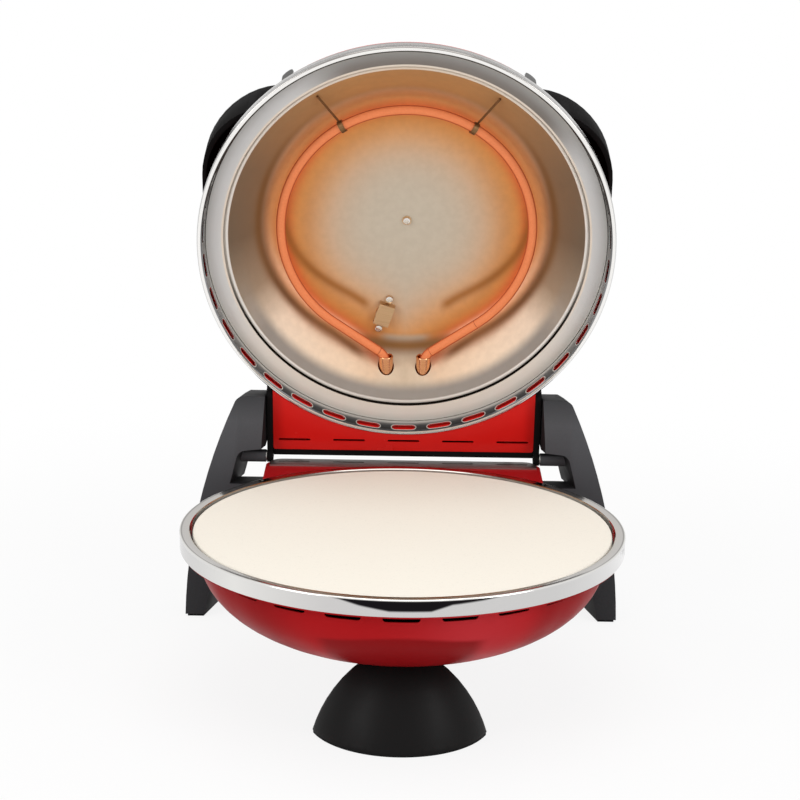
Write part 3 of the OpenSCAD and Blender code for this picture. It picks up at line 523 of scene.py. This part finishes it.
def flange_steel():
    """Satin steel with painted light and shade: cooler at the sides, darker with painted shade at
    the front of the lid, and a painted highlight along its inner edge.
    """
    made, tree, shader = material("flange steel", Metallic=0.3, Specular_IOR_Level=0.3)
    at = place(tree, LID)
    radius, angle = at["Radius"], at["Angle"]
    away = unsigned(tree, angle)
    # painted light and shade by radius, at the sides, the rear and the front
    sides = banded(
        tree, radius,
        (145, (214, 212, 210)), (151, (208, 207, 206)), (156, (194, 192, 190)),
        (158, (184, 182, 178)),
    )
    rear = banded(
        tree, radius,
        (145, (228, 219, 208)), (151, (222, 214, 205)), (155, (206, 199, 190)),
        (158, (188, 182, 174)),
    )
    front = banded(
        tree, radius,
        (146, (122, 113, 106)), (150, (134, 128, 123)), (154, (158, 155, 151)),
        (158, (182, 178, 171)),
    )
    colour = blended(tree, between(tree, away, 100.0, 140.0), sides, rear)
    # painted shade at the front of the lid
    front_shade = times(
        tree, between(tree, angle, -38.0, -16.0), between(tree, angle, 44.0, 66.0, 1.0, 0.0)
    )
    colour = blended(tree, front_shade, colour, front)
    lines = brushed(tree, radius, times(tree, angle, ROUND_LINES), 2.0)
    colour = layered(tree, colour, (150, 144, 136), lines, 0.12)
    # a painted highlight along the inner edge, but for the rear
    edge = between(tree, radius, 146.4, 145.8)
    colour = layered(
        tree, colour, (228, 214, 198), edge, between(tree, away, 100.0, 130.0, 1.0, 0.0)
    )
    feed(tree, shader, Base_Color=colour, Roughness=patches(tree, 35.0, 0.36, 0.48))
    bump(tree, shader, lines, 0.06, 0.04)
    return made


def plastic(name, colour, light, rough, grain_size=0.5, depth=0.25, ior=1.3):
    """Moulded plastic whose fine grain is a little lighter."""
    made, tree, shader = material(name, IOR=ior)
    fine = grain(tree, grain_size)
    feed(
        tree, shader,
        Base_Color=blended(tree, fine, colour, light), Roughness=patches(tree, 30.0, *rough),
    )
    bump(tree, shader, fine, depth, 0.06)
    return made


def leg_plastic(oven):
    """Graphite plastic with painted light and shade: darker at the lower ends and at the very top,
    and a painted shade on all that doesn't face forward.
    """
    made, tree, shader = material("graphite plastic", IOR=1.12)
    fine = grain(tree, 0.5)
    normal = put(tree, "ShaderNodeTexCoord").outputs["Normal"]
    facing = put(tree, "ShaderNodeSeparateXYZ", {0: normal}).outputs
    # the faces that look forward; all others take a painted shade, grey * 0.28
    forward = between(tree, facing[1], -0.5, -0.85)
    grey = Vector(oven.graphite)
    # painted light and shade by height on the forward faces: darkest at the lower ends, brightest
    # a little below the top, darker again at the very top
    light = profile(
        tree, place(tree, BASE)["Height"],
        (-90.0, 0.15), (-20.0, 0.5), (15.0, 0.9), (35.0, 1.0), (LEG_TOP, 0.35),
    )
    face = blended(tree, light, (0, 0, 0), grey * 2.0)
    face = blended(tree, fine, face, grey * 1.15)
    feed(
        tree, shader,
        Base_Color=blended(tree, forward, grey * 0.28, face),
        Roughness=patches(tree, 30.0, 0.5, 0.62),
    )
    bump(tree, shader, fine, 0.25, 0.06)
    return made


def stone_finish(name, colour, speck):
    """A dull mineral surface with fine specks."""
    made, tree, shader = material(name, Specular_IOR_Level=0.2)
    fine = grain(tree, 1.4)
    colour = blended(tree, between(tree, fine, 0.56, 0.72), colour, speck)
    feed(tree, shader, Base_Color=colour, Roughness=patches(tree, 45.0, 0.72, 0.9))
    bump(tree, shader, fine, 0.3, 0.12)
    return made


def pan_finish():
    """Satin steel with the glow of the loop in front of it painted on, the loop's two soft painted
    reflections, and painted shade and highlights on its wall and lip.
    """
    made, tree, shader = material("lid pan steel", Metallic=0.15, Specular_IOR_Level=0.25)
    at = place(tree, LID)
    radius, away = at["Radius"], unsigned(tree, at["Angle"])
    # the way outward from the loop's middle line, which runs straight near the rear
    turn = maths(tree, "MAXIMUM", less(tree, away, 180.0 - LOOP_LEAVE), 0.0)
    turn = maths(tree, "COSINE", maths(tree, "RADIANS", turn))
    off = less(tree, times(tree, radius, turn), LOOP_RADIUS)
    on_wall = between(tree, radius, 108.0, 121.0)
    before_ends = between(tree, away, 158.0, 168.0, 1.0, 0.0)

    # painted reflections on the wall: dark at the sides, bright at the rear
    wall = banded(
        tree, away,
        (20, (190, 142, 92)), (66, (122, 102, 82)), (92, (104, 92, 78)), (112, (150, 136, 118)),
        (128, (240, 224, 203)), (160, (238, 218, 192)), (180, (204, 182, 156)),
    )
    colour = blended(tree, on_wall, linear(196, 185, 167), wall)
    # the glow, but for the patch between the loop's two ends
    ends = times(tree, between(tree, away, 166.0, 174.0), between(tree, radius, 100.0, 106.0))
    beside = less(tree, 1.0, ends)
    wide = less(tree, off, between(tree, away, 50.0, 150.0, -8.0, 0.0))
    faint_on_wall = between(tree, on_wall, 0.0, 1.0, 1.0, 0.25)
    colour = layered(
        tree, colour, (222, 152, 80), hump(tree, wide, 0.0, 34.0), faint_on_wall, beside
    )
    near = less(tree, off, between(tree, away, 50.0, 150.0, -4.5, 3.5))
    colour = layered(tree, colour, (226, 112, 58), hump(tree, near, 0.0, 6.5), beside)
    # the painted dark reflections inside and outside the loop, the outer one with a painted
    # highlight beside it
    inner = less(tree, off, between(tree, away, 85.0, 150.0, -1.0, -21.0))
    colour = layered(
        tree, colour, (158, 98, 40), hump(tree, inner, 0.0, 4.4),
        between(tree, away, 60.0, 100.0, 0.0, 0.85), between(tree, away, 154.0, 162.0, 1.0, 0.0),
    )
    outer = less(tree, off, between(tree, away, 90.0, 150.0, 18.0, 12.0))
    colour = layered(
        tree, colour, (120, 80, 38), hump(tree, outer, 0.0, 3.2),
        between(tree, away, 30.0, 80.0, 0.1, 0.8), before_ends,
    )
    colour = layered(
        tree, colour, (255, 214, 176), hump(tree, outer, -6.5, 3.4),
        between(tree, away, 80.0, 120.0, 0.0, 0.6), before_ends,
    )
    # painted shade where the floor of the pan turns up, and a cool band of painted shade at the
    # rear of its wall
    middle = between(tree, away, 150.0, 168.0)
    colour = layered(tree, colour, (132, 90, 46), hump(tree, radius, 109.5, 5.5), middle)
    rear = between(tree, away, 100.0, 128.0)
    colour = layered(tree, colour, (146, 138, 130), between(tree, radius, 129.0, 137.0), rear)
    colour = layered(tree, colour, (120, 96, 70), patches(tree, 6.0, 0.0, 0.08))
    # the lip, with painted highlights that change round it and painted shade in the gap under its
    # rear half
    lip = banded(tree, away, (0, (224, 206, 186)), (90, (228, 224, 218)), (180, (200, 192, 184)))
    gap = between(tree, radius, 143.6, 144.2)
    lip = layered(tree, lip, (38, 30, 22), gap, between(tree, away, 96.0, 124.0))
    colour = blended(tree, between(tree, radius, 140.7, 141.1), colour, lip)
    feed(tree, shader, Base_Color=colour, Roughness=patches(tree, 35.0, 0.42, 0.55))
    bump(tree, shader, grain(tree, 0.9), 0.16, 0.05)
    return made


def glow_finish():
    """Glowing tube, its glow painted into its colour, with painted shade, darker and redder,
    towards its outline.
    """
    made, tree, shader = material(
        "glowing loop", Roughness=0.55, Specular_IOR_Level=0.2, Emission_Strength=0.08
    )
    # painted shade towards the tube's outline, by how far each point faces away
    facing = put(tree, "ShaderNodeLayerWeight", {"Blend": 0.42}).outputs["Facing"]
    edge = between(tree, facing, 0.2, 0.62)
    fine = grain(tree, 1.6)
    core = blended(tree, fine, linear(232, 134, 86), linear(214, 116, 70))
    feed(
        tree, shader,
        Base_Color=blended(tree, edge, core, linear(170, 62, 18)),
        Emission_Color=blended(tree, edge, linear(255, 168, 110), linear(150, 44, 10)),
    )
    bump(tree, shader, fine, 0.2, 0.05)
    return made


# finish: material name, colour, colour of its lines, frame, range of roughness, and False
# where the lines are straight
STEELS = {
    "plate": ("plate steel", (172, 168, 163), (146, 142, 138), BASE, (0.3, 0.42), False),
    "fastener": ("fastener steel", (205, 203, 198), (170, 168, 164), BASE, (0.25, 0.4)),
    "lid_fastener": ("warm fastener steel", (226, 196, 160), (176, 142, 104), LID, (0.25, 0.38)),
    "bright": ("bright steel", (236, 232, 226), (206, 200, 192), LID, (0.14, 0.22)),
    "clip": ("clip steel", (150, 116, 80), (112, 82, 54), LID, (0.4, 0.5)),
    "dark_steel": ("dark steel", (70, 68, 66), (52, 50, 48), LID, (0.35, 0.45)),
    "base_pan": ("base pan steel", (186, 182, 174), (158, 152, 144), BASE, (0.3, 0.42)),
    "cold_tube": ("cold loop", (104, 96, 90), (80, 72, 66), BASE, (0.45, 0.6)),
    "sleeve": ("sleeve copper", (250, 196, 150), (196, 128, 84), LID, (0.14, 0.24)),
}
# the finishes, by name, that the CAD nodes and the added pieces take
FINISH = {}


def finishes(oven):
    """Makes every finish, once."""
    if FINISH:
        return
    build_groups()

    def lighter(colour, share):
        return [c * share for c in colour]

    FINISH.update({key: steel(*row) for key, row in STEELS.items()})
    FINISH.update(
        bowl_red=bowl_enamel(oven),
        lid_red=lid_enamel(oven),
        base_chrome=base_chrome(),
        lid_chrome=lid_chrome(),
        flange=flange_steel(),
        lid_pan=pan_finish(),
        glow=glow_finish(),
        stone=stone_finish("stone", oven.stone, lighter(oven.stone, 0.93)),
        porcelain=stone_finish("porcelain", linear(232, 228, 216), linear(214, 210, 198)),
        legs=leg_plastic(oven),
        black=plastic(
            "black plastic", oven.plastic, lighter(oven.plastic, 1.5), (0.58, 0.68), ior=1.08
        ),
        foot=plastic(
            "foot plastic", oven.plastic, lighter(oven.plastic, 1.4), (0.4, 0.46), ior=1.18
        ),
        graphite=plastic("knob plastic", oven.graphite, lighter(oven.graphite, 1.4), (0.42, 0.55)),
        rubber=plastic(
            "rubber", linear(16, 16, 16), linear(24, 24, 24), (0.7, 0.8),
            grain_size=0.8, depth=0.3, ior=1.2,
        ),
        white=plastic(
            "mark white", linear(226, 226, 222), linear(206, 206, 202), (0.4, 0.5),
            grain_size=0.8, depth=0.05,
        ),
        lamp=plastic(
            "amber lamp", linear(238, 150, 40), linear(250, 180, 80), (0.1, 0.16),
            grain_size=3.0, depth=0.05,
        ),
    )


# ---- pieces ----
def smoother():
    """Geometry nodes that shade a mesh smoothly, except across its sharp edges."""
    name = "Smooth Shading"
    if name in bpy.data.node_groups:
        return bpy.data.node_groups[name]
    tree = bpy.data.node_groups.new(name, "GeometryNodeTree")
    for way in ("INPUT", "OUTPUT"):
        tree.interface.new_socket("Geometry", in_out=way, socket_type="NodeSocketGeometry")
    given = tree.nodes.new("NodeGroupInput").outputs[0]
    angle = put(tree, "GeometryNodeInputMeshEdgeAngle").outputs[0]
    sharp = put(
        tree, "FunctionNodeCompare", {0: angle, 1: math.radians(SHARP_ANGLE)},
        data_type="FLOAT", operation="GREATER_THAN",
    ).outputs[0]
    kind = "GeometryNodeSetShadeSmooth"
    smooth = put(tree, kind, {"Geometry": given, "Shade Smooth": True}).outputs[0]
    values = {"Geometry": smooth, "Selection": sharp, "Shade Smooth": False}
    edged = put(tree, kind, values, domain="EDGE").outputs[0]
    tree.links.new(edged, tree.nodes.new("NodeGroupOutput").inputs[0])
    return tree


def dress(finish, *names, edge=0.0):
    """Gives CAD nodes a finish and smooth shading, and rounds their edges by edge millimetres."""
    for name in names:
        node = NODES[name]
        node.data.materials.clear()
        node.data.materials.append(FINISH[finish])
        node.modifiers.new("weld", "WELD").merge_threshold = WELD * MM
        if edge:
            flat = node.modifiers.new("flat faces", "DECIMATE")
            flat.decimate_type, flat.angle_limit = "DISSOLVE", math.radians(FLAT_ANGLE)
            rounding = node.modifiers.new("rounding", "BEVEL")
            rounding.width, rounding.segments = edge * MM, 2
            rounding.limit_method, rounding.angle_limit = "ANGLE", math.radians(ROUND_ANGLE)
        node.modifiers.new("smooth", "NODES").node_group = smoother()


def piece(name, bm, finish, node):
    """An object of a finished mesh, in world coordinates, that rides on the CAD node's body."""
    bmesh.ops.recalc_face_normals(bm, faces=bm.faces[:])
    mesh = bpy.data.meshes.new(name)
    bm.to_mesh(mesh)
    bm.free()
    mesh.materials.append(FINISH[finish])
    made = bpy.data.objects.new(name, mesh)
    bpy.context.scene.collection.objects.link(made)
    made.modifiers.new("smooth", "NODES").node_group = smoother()
    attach(made, NODES[node]["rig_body"])


def turned(bm, matrix, radius, angle, height):
    """Adds a corner at a radius, an angle in radians and a height about matrix's Z axis."""
    flat = radius * MM
    at = Vector((flat * math.cos(angle), flat * math.sin(angle), height * MM))
    return bm.verts.new(matrix @ at)


def bridged(bm, low, high):
    """Adds the faces between two rings that have as many corners."""
    following = zip(low, low[1:] + low[:1], high[1:] + high[:1], high)
    return [bm.faces.new(corners) for corners in following]


def lathed(bm, outline, matrix):
    """Adds a closed ring: pairs of radius and height, turned about matrix's Z axis."""
    angles = [math.tau * i / TURNED_STEPS for i in range(TURNED_STEPS)]
    rings = [
        [turned(bm, matrix, radius, angle, height) for angle in angles]
        for radius, height in outline
    ]
    for low, high in zip(rings, rings[1:] + rings[:1]):
        bridged(bm, low, high)


def cross_head(bm, matrix, radius, height):
    """Adds a domed screw head with a cross recess on matrix's XY plane."""
    rings = []
    for share in HEAD_RINGS:
        half = math.asin(RECESS_HALF / share)
        step = (math.pi / 2 - 2 * half) / QUARTER_STEPS
        dome = math.sqrt(1 - share ** 2) * (1 - HEAD_EDGE) + HEAD_EDGE
        rings.append([
            turned(bm, matrix, share * radius, quarter * math.pi / 2 + turn, height * dome)
            for quarter in range(4)
            for turn in [-half] + [half + step * i for i in range(QUARTER_STEPS)]
        ])
    recess = [bm.faces.new(rings[0])]
    for level, (low, high) in enumerate(zip(rings, rings[1:])):
        faces = bridged(bm, low, high)
        if level < RECESS_RINGS:
            recess += faces[::QUARTER_STEPS + 1]
    down = matrix.to_3x3() @ Vector((0, 0, -height * MM))
    foot = [bm.verts.new(vert.co + down * HEAD_SINK) for vert in rings[-1]]
    bridged(bm, rings[-1], foot)
    bm.faces.new(list(reversed(foot)))
    sunk = bmesh.ops.extrude_face_region(bm, geom=recess)["geom"]
    corners = [part for part in sunk if isinstance(part, bmesh.types.BMVert)]
    bmesh.ops.translate(bm, verts=corners, vec=down * RECESS_DEPTH)
    bmesh.ops.delete(bm, geom=recess, context="FACES_ONLY")


def extent(points):
    """The lowest and the highest corner of the points' box."""
    axes = list(zip(*points))
    return Vector([min(axis) for axis in axes]), Vector([max(axis) for axis in axes])


def heads(node, direction):
    """Centre, direction and radius, in metres, of each head of a CAD node's screws.

    direction is the way that a screw's head faces, from the screw's middle.
    """
    bm = bmesh.new()
    bm.from_mesh(NODES[node].data)
    bmesh.ops.transform(bm, matrix=NODES[node].matrix_world, verts=bm.verts[:])
    bmesh.ops.remove_doubles(bm, verts=bm.verts[:], dist=WELD * MM)
    left, found = set(bm.verts), []
    while left:
        island, queue = [], [left.pop()]
        while queue:
            vert = queue.pop()
            island.append(vert.co.copy())
            linked = {edge.other_vert(vert) for edge in vert.link_edges} & left
            left -= linked
            queue += linked
        way = direction(sum(island, Vector()) / len(island))
        far = max(corner.dot(way) for corner in island)
        face = [corner for corner in island if corner.dot(way) > far - ON_TOP * MM]
        low, high = extent(face)
        centre = (low + high) / 2
        found.append((centre, way, max((corner - centre).length for corner in face)))
    bm.free()
    return sorted(found, key=lambda head: tuple(round(c, 5) for c in head[0]))


def screws(name, finish, node, direction):
    """Domed heads with a cross recess, each turned its own way, on the screws of a CAD node."""
    bm = bmesh.new()
    for i, (centre, way, radius) in enumerate(heads(node, direction)):
        facing = way.to_track_quat("Z", "Y").to_matrix().to_4x4()
        turn = Matrix.Rotation(FIRST_TURN + NEXT_TURN * i, 4, "Z")
        matrix = Matrix.Translation(centre) @ facing @ turn
        cross_head(bm, matrix, radius / MM * HEAD_COVER, radius / MM * HEAD_HEIGHT)
    piece(name, bm, finish, node)


def sideways(at):
    """The direction away from the middle, to the left or the right."""
    return Vector((math.copysign(1, at.x), 0, 0))


def slab(bm, matrix, size):
    """Adds a flat block with its lower face on matrix's XY plane and its edges taken off."""
    made = bmesh.ops.create_cube(bm, size=1.0)["verts"]
    lift = Matrix.Translation((0, 0, size[2] * MM / 2))
    stretch = Matrix.Diagonal((*(Vector(size) * MM), 1))
    bmesh.ops.transform(bm, matrix=matrix @ lift @ stretch, verts=made)
    edges = list({edge for vert in made for edge in vert.link_edges})
    bmesh.ops.bevel(bm, geom=edges, offset=SLAB_EDGE * MM, segments=1, affect="EDGES")


def in_lid(node):
    """A CAD node's mesh in the lid's own frame."""
    bm = bmesh.new()
    bm.from_mesh(NODES[node].data)
    bmesh.ops.transform(bm, matrix=LID.inverted(), verts=bm.verts[:])
    return bm


def dial(knob, name):
    """A pointer on a control knob and the marks round it on the handle."""
    bm = in_lid(knob)
    top = max(vert.co.z for vert in bm.verts)
    grip = [vert.co.copy() for vert in bm.verts if vert.co.z > top - ON_TOP * MM]
    bm.free()
    low, high = extent(grip)
    middle = Vector(((high.x + low.x) / 2, (high.y + low.y) / 2, 0))
    tip = middle.y - ((high.y - low.y) / 2 - POINTER_IN * MM)
    bm = bmesh.new()
    slab(bm, LID @ Matrix.Translation((middle.x, tip, top)), POINTER)
    piece(name + "_pointer", bm, "white", knob)

    shell = in_lid("handle")
    surface = BVHTree.FromBMesh(shell)
    shell.free()
    bm = bmesh.new()
    for i in range(-MARK_SIDE, MARK_SIDE + 1):
        turn = math.radians(MARK_TURN * i)
        way = Vector((math.sin(turn), -math.cos(turn), 0))
        above = middle + way * MARK_RADIUS * MM + Vector((0, 0, top + RAY_UP * MM))
        foot, normal = surface.ray_cast(above, Vector((0, 0, -1)))[:2]
        along = (way - normal * way.dot(normal)).normalized()
        facing = Matrix((normal.cross(along), along, normal)).transposed().to_4x4()
        at = Matrix.Translation(foot - normal * MARK_SINK * MM)
        slab(bm, LID @ at @ facing, SHORT_MARK if i % MARK_SIDE else LONG_MARK)
    piece(name + "_marks", bm, "white", "handle")


# ---- settings ----
class OvenSettings(bpy.types.PropertyGroup):
    bowl_red: FloatVectorProperty(
        name="Bowl red", description="Colour of the bowl's enamel",
        subtype="COLOR", size=3, min=0, max=1, default=linear(160, 20, 24),
    )
    lid_red: FloatVectorProperty(
        name="Lid red", description="Colour of the lid's enamel",
        subtype="COLOR", size=3, min=0, max=1, default=linear(210, 28, 24),
    )
    stone: FloatVectorProperty(
        name="Stone", description="Colour of the baking stone",
        subtype="COLOR", size=3, min=0, max=1, default=linear(241, 235, 223),
    )
    plastic: FloatVectorProperty(
        name="Black plastic", description="Colour of the handle and the foot",
        subtype="COLOR", size=3, min=0, max=1, default=linear(18, 17, 17),
    )
    graphite: FloatVectorProperty(
        name="Graphite plastic", description="Colour of the rear legs and the knobs",
        subtype="COLOR", size=3, min=0, max=1, default=linear(64, 64, 66),
    )
    floor_size: FloatProperty(
        name="Floor", description="Width of the floor",
        default=8.0, min=2.0, unit="LENGTH", subtype="DISTANCE",
    )
    lamp_power: FloatProperty(
        name="Lamps", description="Power of each lamp", default=16.0, min=0.0, unit="POWER"
    )


# ---- stage, in metres ----
EYE = Vector((-0.00327, -1.591214, 0.61831))
TARGET = Vector((-0.00327, -0.039384, 0.22868))
ROLL = 0.862
LENS, SENSOR = 98.84, 36.0  # millimetres
CLIP = (0.05, 50.0)
LAMP_TARGET = (0, 0, 0.2)
LAMPS = (
    ("left lamp", (-1.7, -1.3, 1.0), (0.9, 1.5)),
    ("right lamp", (1.7, -1.3, 1.0), (0.9, 1.5)),
    ("top lamp", (0, -0.3, 2.2), (1.6, 1.6)),
)
WHITE = (1, 1, 1, 1)
SOFT_LIGHT = 0.55  # of the surroundings, on all that isn't seen or mirrored
FLOOR_DOWN = 0.2 * MM
FLOOR_GREY = (0.86, 0.86, 0.86)
FLOOR_NEAR, FLOOR_FAR = 0.35, 0.9  # where the floor starts and ends to turn fully white
FLOOR_WHITE = 0.86  # share of plain white in the floor near the middle


def looking(eye, target):
    """The turn that points a camera or a lamp at eye towards target."""
    return (Vector(target) - Vector(eye)).to_track_quat("-Z", "Y")


def add_object(scene, name, data, location, turn):
    """A camera's or a lamp's object, linked to the scene."""
    made = bpy.data.objects.new(name, data)
    made.location = location
    made.rotation_mode = "QUATERNION"
    made.rotation_quaternion = turn
    scene.collection.objects.link(made)
    return made


def add_camera(scene):
    """Looks at the open lid from a little above."""
    data = bpy.data.cameras.new("camera")
    data.lens, data.sensor_width = LENS, SENSOR
    data.clip_start, data.clip_end = CLIP
    roll = Quaternion((0, 0, 1), math.radians(ROLL))
    scene.camera = add_object(scene, "camera", data, EYE, looking(EYE, TARGET) @ roll)


def add_lamps(scene, power):
    """Three wide lamps with soft shadows."""
    for name, where, size in LAMPS:
        data = bpy.data.lights.new(name, "AREA")
        data.shape, data.energy = "RECTANGLE", power
        data.size, data.size_y = size
        add_object(scene, name, data, where, looking(where, LAMP_TARGET))


def seen_or_mirrored(tree):
    """1 for what the camera sees, straight, in a mirror or through glass."""
    rays = put(tree, "ShaderNodeLightPath").outputs
    mirrored = maths(tree, "MAXIMUM", rays["Is Glossy Ray"], rays["Is Transmission Ray"])
    return maths(tree, "MAXIMUM", rays["Is Camera Ray"], mirrored)


def add_surroundings(scene):
    """White to look at and in mirrors, softer as a light."""
    scene.world = bpy.data.worlds.new("surroundings")
    scene.world.use_nodes = True
    tree = scene.world.node_tree
    tree.nodes.clear()
    soft = put(tree, "ShaderNodeBackground", {"Color": WHITE, "Strength": SOFT_LIGHT})
    white = put(tree, "ShaderNodeBackground", {"Color": WHITE, "Strength": 1.0})
    values = {0: seen_or_mirrored(tree), 1: soft.outputs[0], 2: white.outputs[0]}
    mix = put(tree, "ShaderNodeMixShader", values)
    put(tree, "ShaderNodeOutputWorld", {0: mix.outputs[0]})


def add_floor(scene, width):
    """A pale floor that keeps the object's shadow and fades to white."""
    mesh = bpy.data.meshes.new("floor")
    half = width / 2
    corners = ((-half, -half), (half, -half), (half, half), (-half, half))
    mesh.from_pydata([(x, y, -FLOOR_DOWN) for x, y in corners], [], [(0, 1, 2, 3)])
    floor = bpy.data.objects.new("floor", mesh)
    scene.collection.objects.link(floor)
    made, tree, shader = material("floor", Roughness=0.9, Base_Color=FLOOR_GREY)
    white = put(tree, "ShaderNodeEmission", {"Color": WHITE, "Strength": 1.0})
    where = put(tree, "ShaderNodeTexCoord").outputs["Object"]
    away = put(tree, "ShaderNodeVectorMath", {0: where}, operation="LENGTH").outputs["Value"]
    share = between(tree, away, FLOOR_NEAR, FLOOR_FAR, FLOOR_WHITE, 1.0)
    share = times(tree, seen_or_mirrored(tree), share)
    mix = put(tree, "ShaderNodeMixShader", {0: share, 1: shader.outputs[0], 2: white.outputs[0]})
    feed(tree, tree.nodes["Material Output"], Surface=mix.outputs[0])
    mesh.materials.append(made)


# ---- operators ----
class StageOperator(bpy.types.Operator):
    """Makes the camera, the lamps, the white surroundings and the floor"""

    bl_idname = "pizza_oven.stage"
    bl_label = "Stage"

    def execute(self, context):
        scene, oven = context.scene, context.scene.pizza_oven
        scene.view_settings.view_transform = "Standard"
        add_camera(scene)
        add_lamps(scene, oven.lamp_power)
        add_surroundings(scene)
        add_floor(scene, oven.floor_size)
        return {"FINISHED"}


class BowlOperator(bpy.types.Operator):
    """Dresses the red bowl, its chrome rim, the stone and what is under it"""

    bl_idname = "pizza_oven.bowl"
    bl_label = "Bowl"

    def execute(self, context):
        finishes(context.scene.pizza_oven)
        dress("bowl_red", "base_shell")
        dress("base_chrome", "base_ring")
        dress("stone", "stone")
        dress("base_pan", "base_pan")
        dress("cold_tube", "lower_element")
        dress("fastener", "base_pan_spacer", "base_pan_screw", "lower_terminals", "lower_clips")
        return {"FINISHED"}


class RearOperator(bpy.types.Operator):
    """Dresses the deck plate, the rear covers, the terminal block and the cord gland"""

    bl_idname = "pizza_oven.rear"
    bl_label = "Rear"

    def execute(self, context):
        finishes(context.scene.pizza_oven)
        dress("plate", "deck_plate")
        dress("black", "base_rear_cover", "lid_rear_cover", "cord_gland")
        dress("porcelain", "terminal_block")
        dress("fastener", "base_cover_screws", "lid_cover_screws")
        screws("base_cover_screw_heads", "fastener", "base_cover_screws", lambda at: REARWARD)
        screws("lid_cover_screw_heads", "fastener", "lid_cover_screws", lambda at: BEHIND_LID)
        return {"FINISHED"}


class LegsOperator(bpy.types.Operator):
    """Dresses the rear legs, the front foot, their pads and the hinge"""

    bl_idname = "pizza_oven.legs"
    bl_label = "Legs and foot"

    def execute(self, context):
        finishes(context.scene.pizza_oven)
        dress("legs", "leg_left", "leg_right", edge=0.6)
        dress("foot", "front_foot", edge=0.5)
        dress("rubber", "foot_pad", "leg_pads")
        dress("fastener", "foot_screws", "leg_screws", "hinge_pins", "hinge_washers")
        screws("leg_screw_heads", "fastener", "leg_screws", sideways)
        return {"FINISHED"}


class LidOperator(bpy.types.Operator):
    """Dresses the red dome, its arms and chrome rim, the flange and the reflector pan"""

    bl_idname = "pizza_oven.lid"
    bl_label = "Lid"

    def execute(self, context):
        finishes(context.scene.pizza_oven)
        dress("lid_red", "lid_shell")
        dress("lid_chrome", "lid_ring")
        dress("flange", "lid_flange")
        dress("lid_pan", "lid_pan")
        dress("dark_steel", "rim_lugs", "arm_screws")
        dress("black", "arm_left", "arm_right", edge=0.4)
        screws("arm_screw_heads", "dark_steel", "arm_screws", sideways)
        return {"FINISHED"}


class LoopOperator(bpy.types.Operator):
    """Dresses the glowing loop, its sleeves and clips, and the sensor"""

    bl_idname = "pizza_oven.loop"
    bl_label = "Heating loop"

    def execute(self, context):
        finishes(context.scene.pizza_oven)
        dress("glow", "upper_element")
        modifiers = NODES["upper_element"].modifiers
        modifiers["weld"].merge_threshold = LOOP_WELD * MM
        modifiers.new("slim", "DISPLACE").strength = -LOOP_SLIM * MM
        bm = bmesh.new()
        for side in (-1, 1):
            end = Vector((side * LOOP_END, SLEEVE_BACK, LOOP_DEPTH)) * MM
            rearward = Matrix.Translation(end) @ Matrix.Rotation(-math.pi / 2, 4, "X")
            lathed(bm, SLEEVE_OUTLINE, LID @ rearward)
        piece("loop_sleeves", bm, "sleeve", "upper_terminals")
        screws("pan_screw_head", "bright", "lid_pan_screw", lambda at: INTO_LID)
        screws("sensor_screw_heads", "bright", "sensor_screws", lambda at: INTO_LID)
        dress("sleeve", "upper_terminals")
        dress("clip", "upper_clips")
        dress("lid_fastener", "sensor", "sensor_strap", "sensor_screws")
        dress("lid_fastener", "lid_pan_spacer", "lid_pan_screw")
        return {"FINISHED"}


class HandleOperator(bpy.types.Operator):
    """Dresses the handle, the knobs and the lamp"""

    bl_idname = "pizza_oven.handle"
    bl_label = "Handle and controls"

    def execute(self, context):
        finishes(context.scene.pizza_oven)
        dress("black", "handle", edge=0.5)
        dress("graphite", "thermostat_knob", "timer_knob", edge=0.4)
        dial("thermostat_knob", "thermostat")
        dial("timer_knob", "timer")
        dress("lamp", "pilot_lamp")
        dress("fastener", "handle_screws")
        return {"FINISHED"}


OPERATORS = (
    StageOperator, BowlOperator, RearOperator, LegsOperator, LidOperator, LoopOperator,
    HandleOperator,
)


class OvenPanel(bpy.types.Panel):
    bl_idname = "VIEW3D_PT_pizza_oven"
    bl_label = "Pizza oven"
    bl_space_type = "VIEW_3D"
    bl_region_type = "UI"
    bl_category = "Pizza oven"

    def draw(self, context):
        for name in OvenSettings.__annotations__:
            self.layout.prop(context.scene.pizza_oven, name)
        for operator in OPERATORS:
            self.layout.operator(operator.bl_idname)


CLASSES = (OvenSettings, *OPERATORS, OvenPanel)


def register():
    """Adds the settings, the operators and the panel."""
    for cls in CLASSES:
        bpy.utils.register_class(cls)
    bpy.types.Scene.pizza_oven = PointerProperty(type=OvenSettings)


def unregister():
    """Takes away what register added."""
    del bpy.types.Scene.pizza_oven
    for cls in reversed(CLASSES):
        bpy.utils.unregister_class(cls)


def main():
    """Runs every operator in order."""
    register()
    bpy.ops.pizza_oven.stage()
    bpy.ops.pizza_oven.bowl()
    bpy.ops.pizza_oven.rear()
    bpy.ops.pizza_oven.legs()
    bpy.ops.pizza_oven.lid()
    bpy.ops.pizza_oven.loop()
    bpy.ops.pizza_oven.handle()


if __name__ == "__main__":
    main()
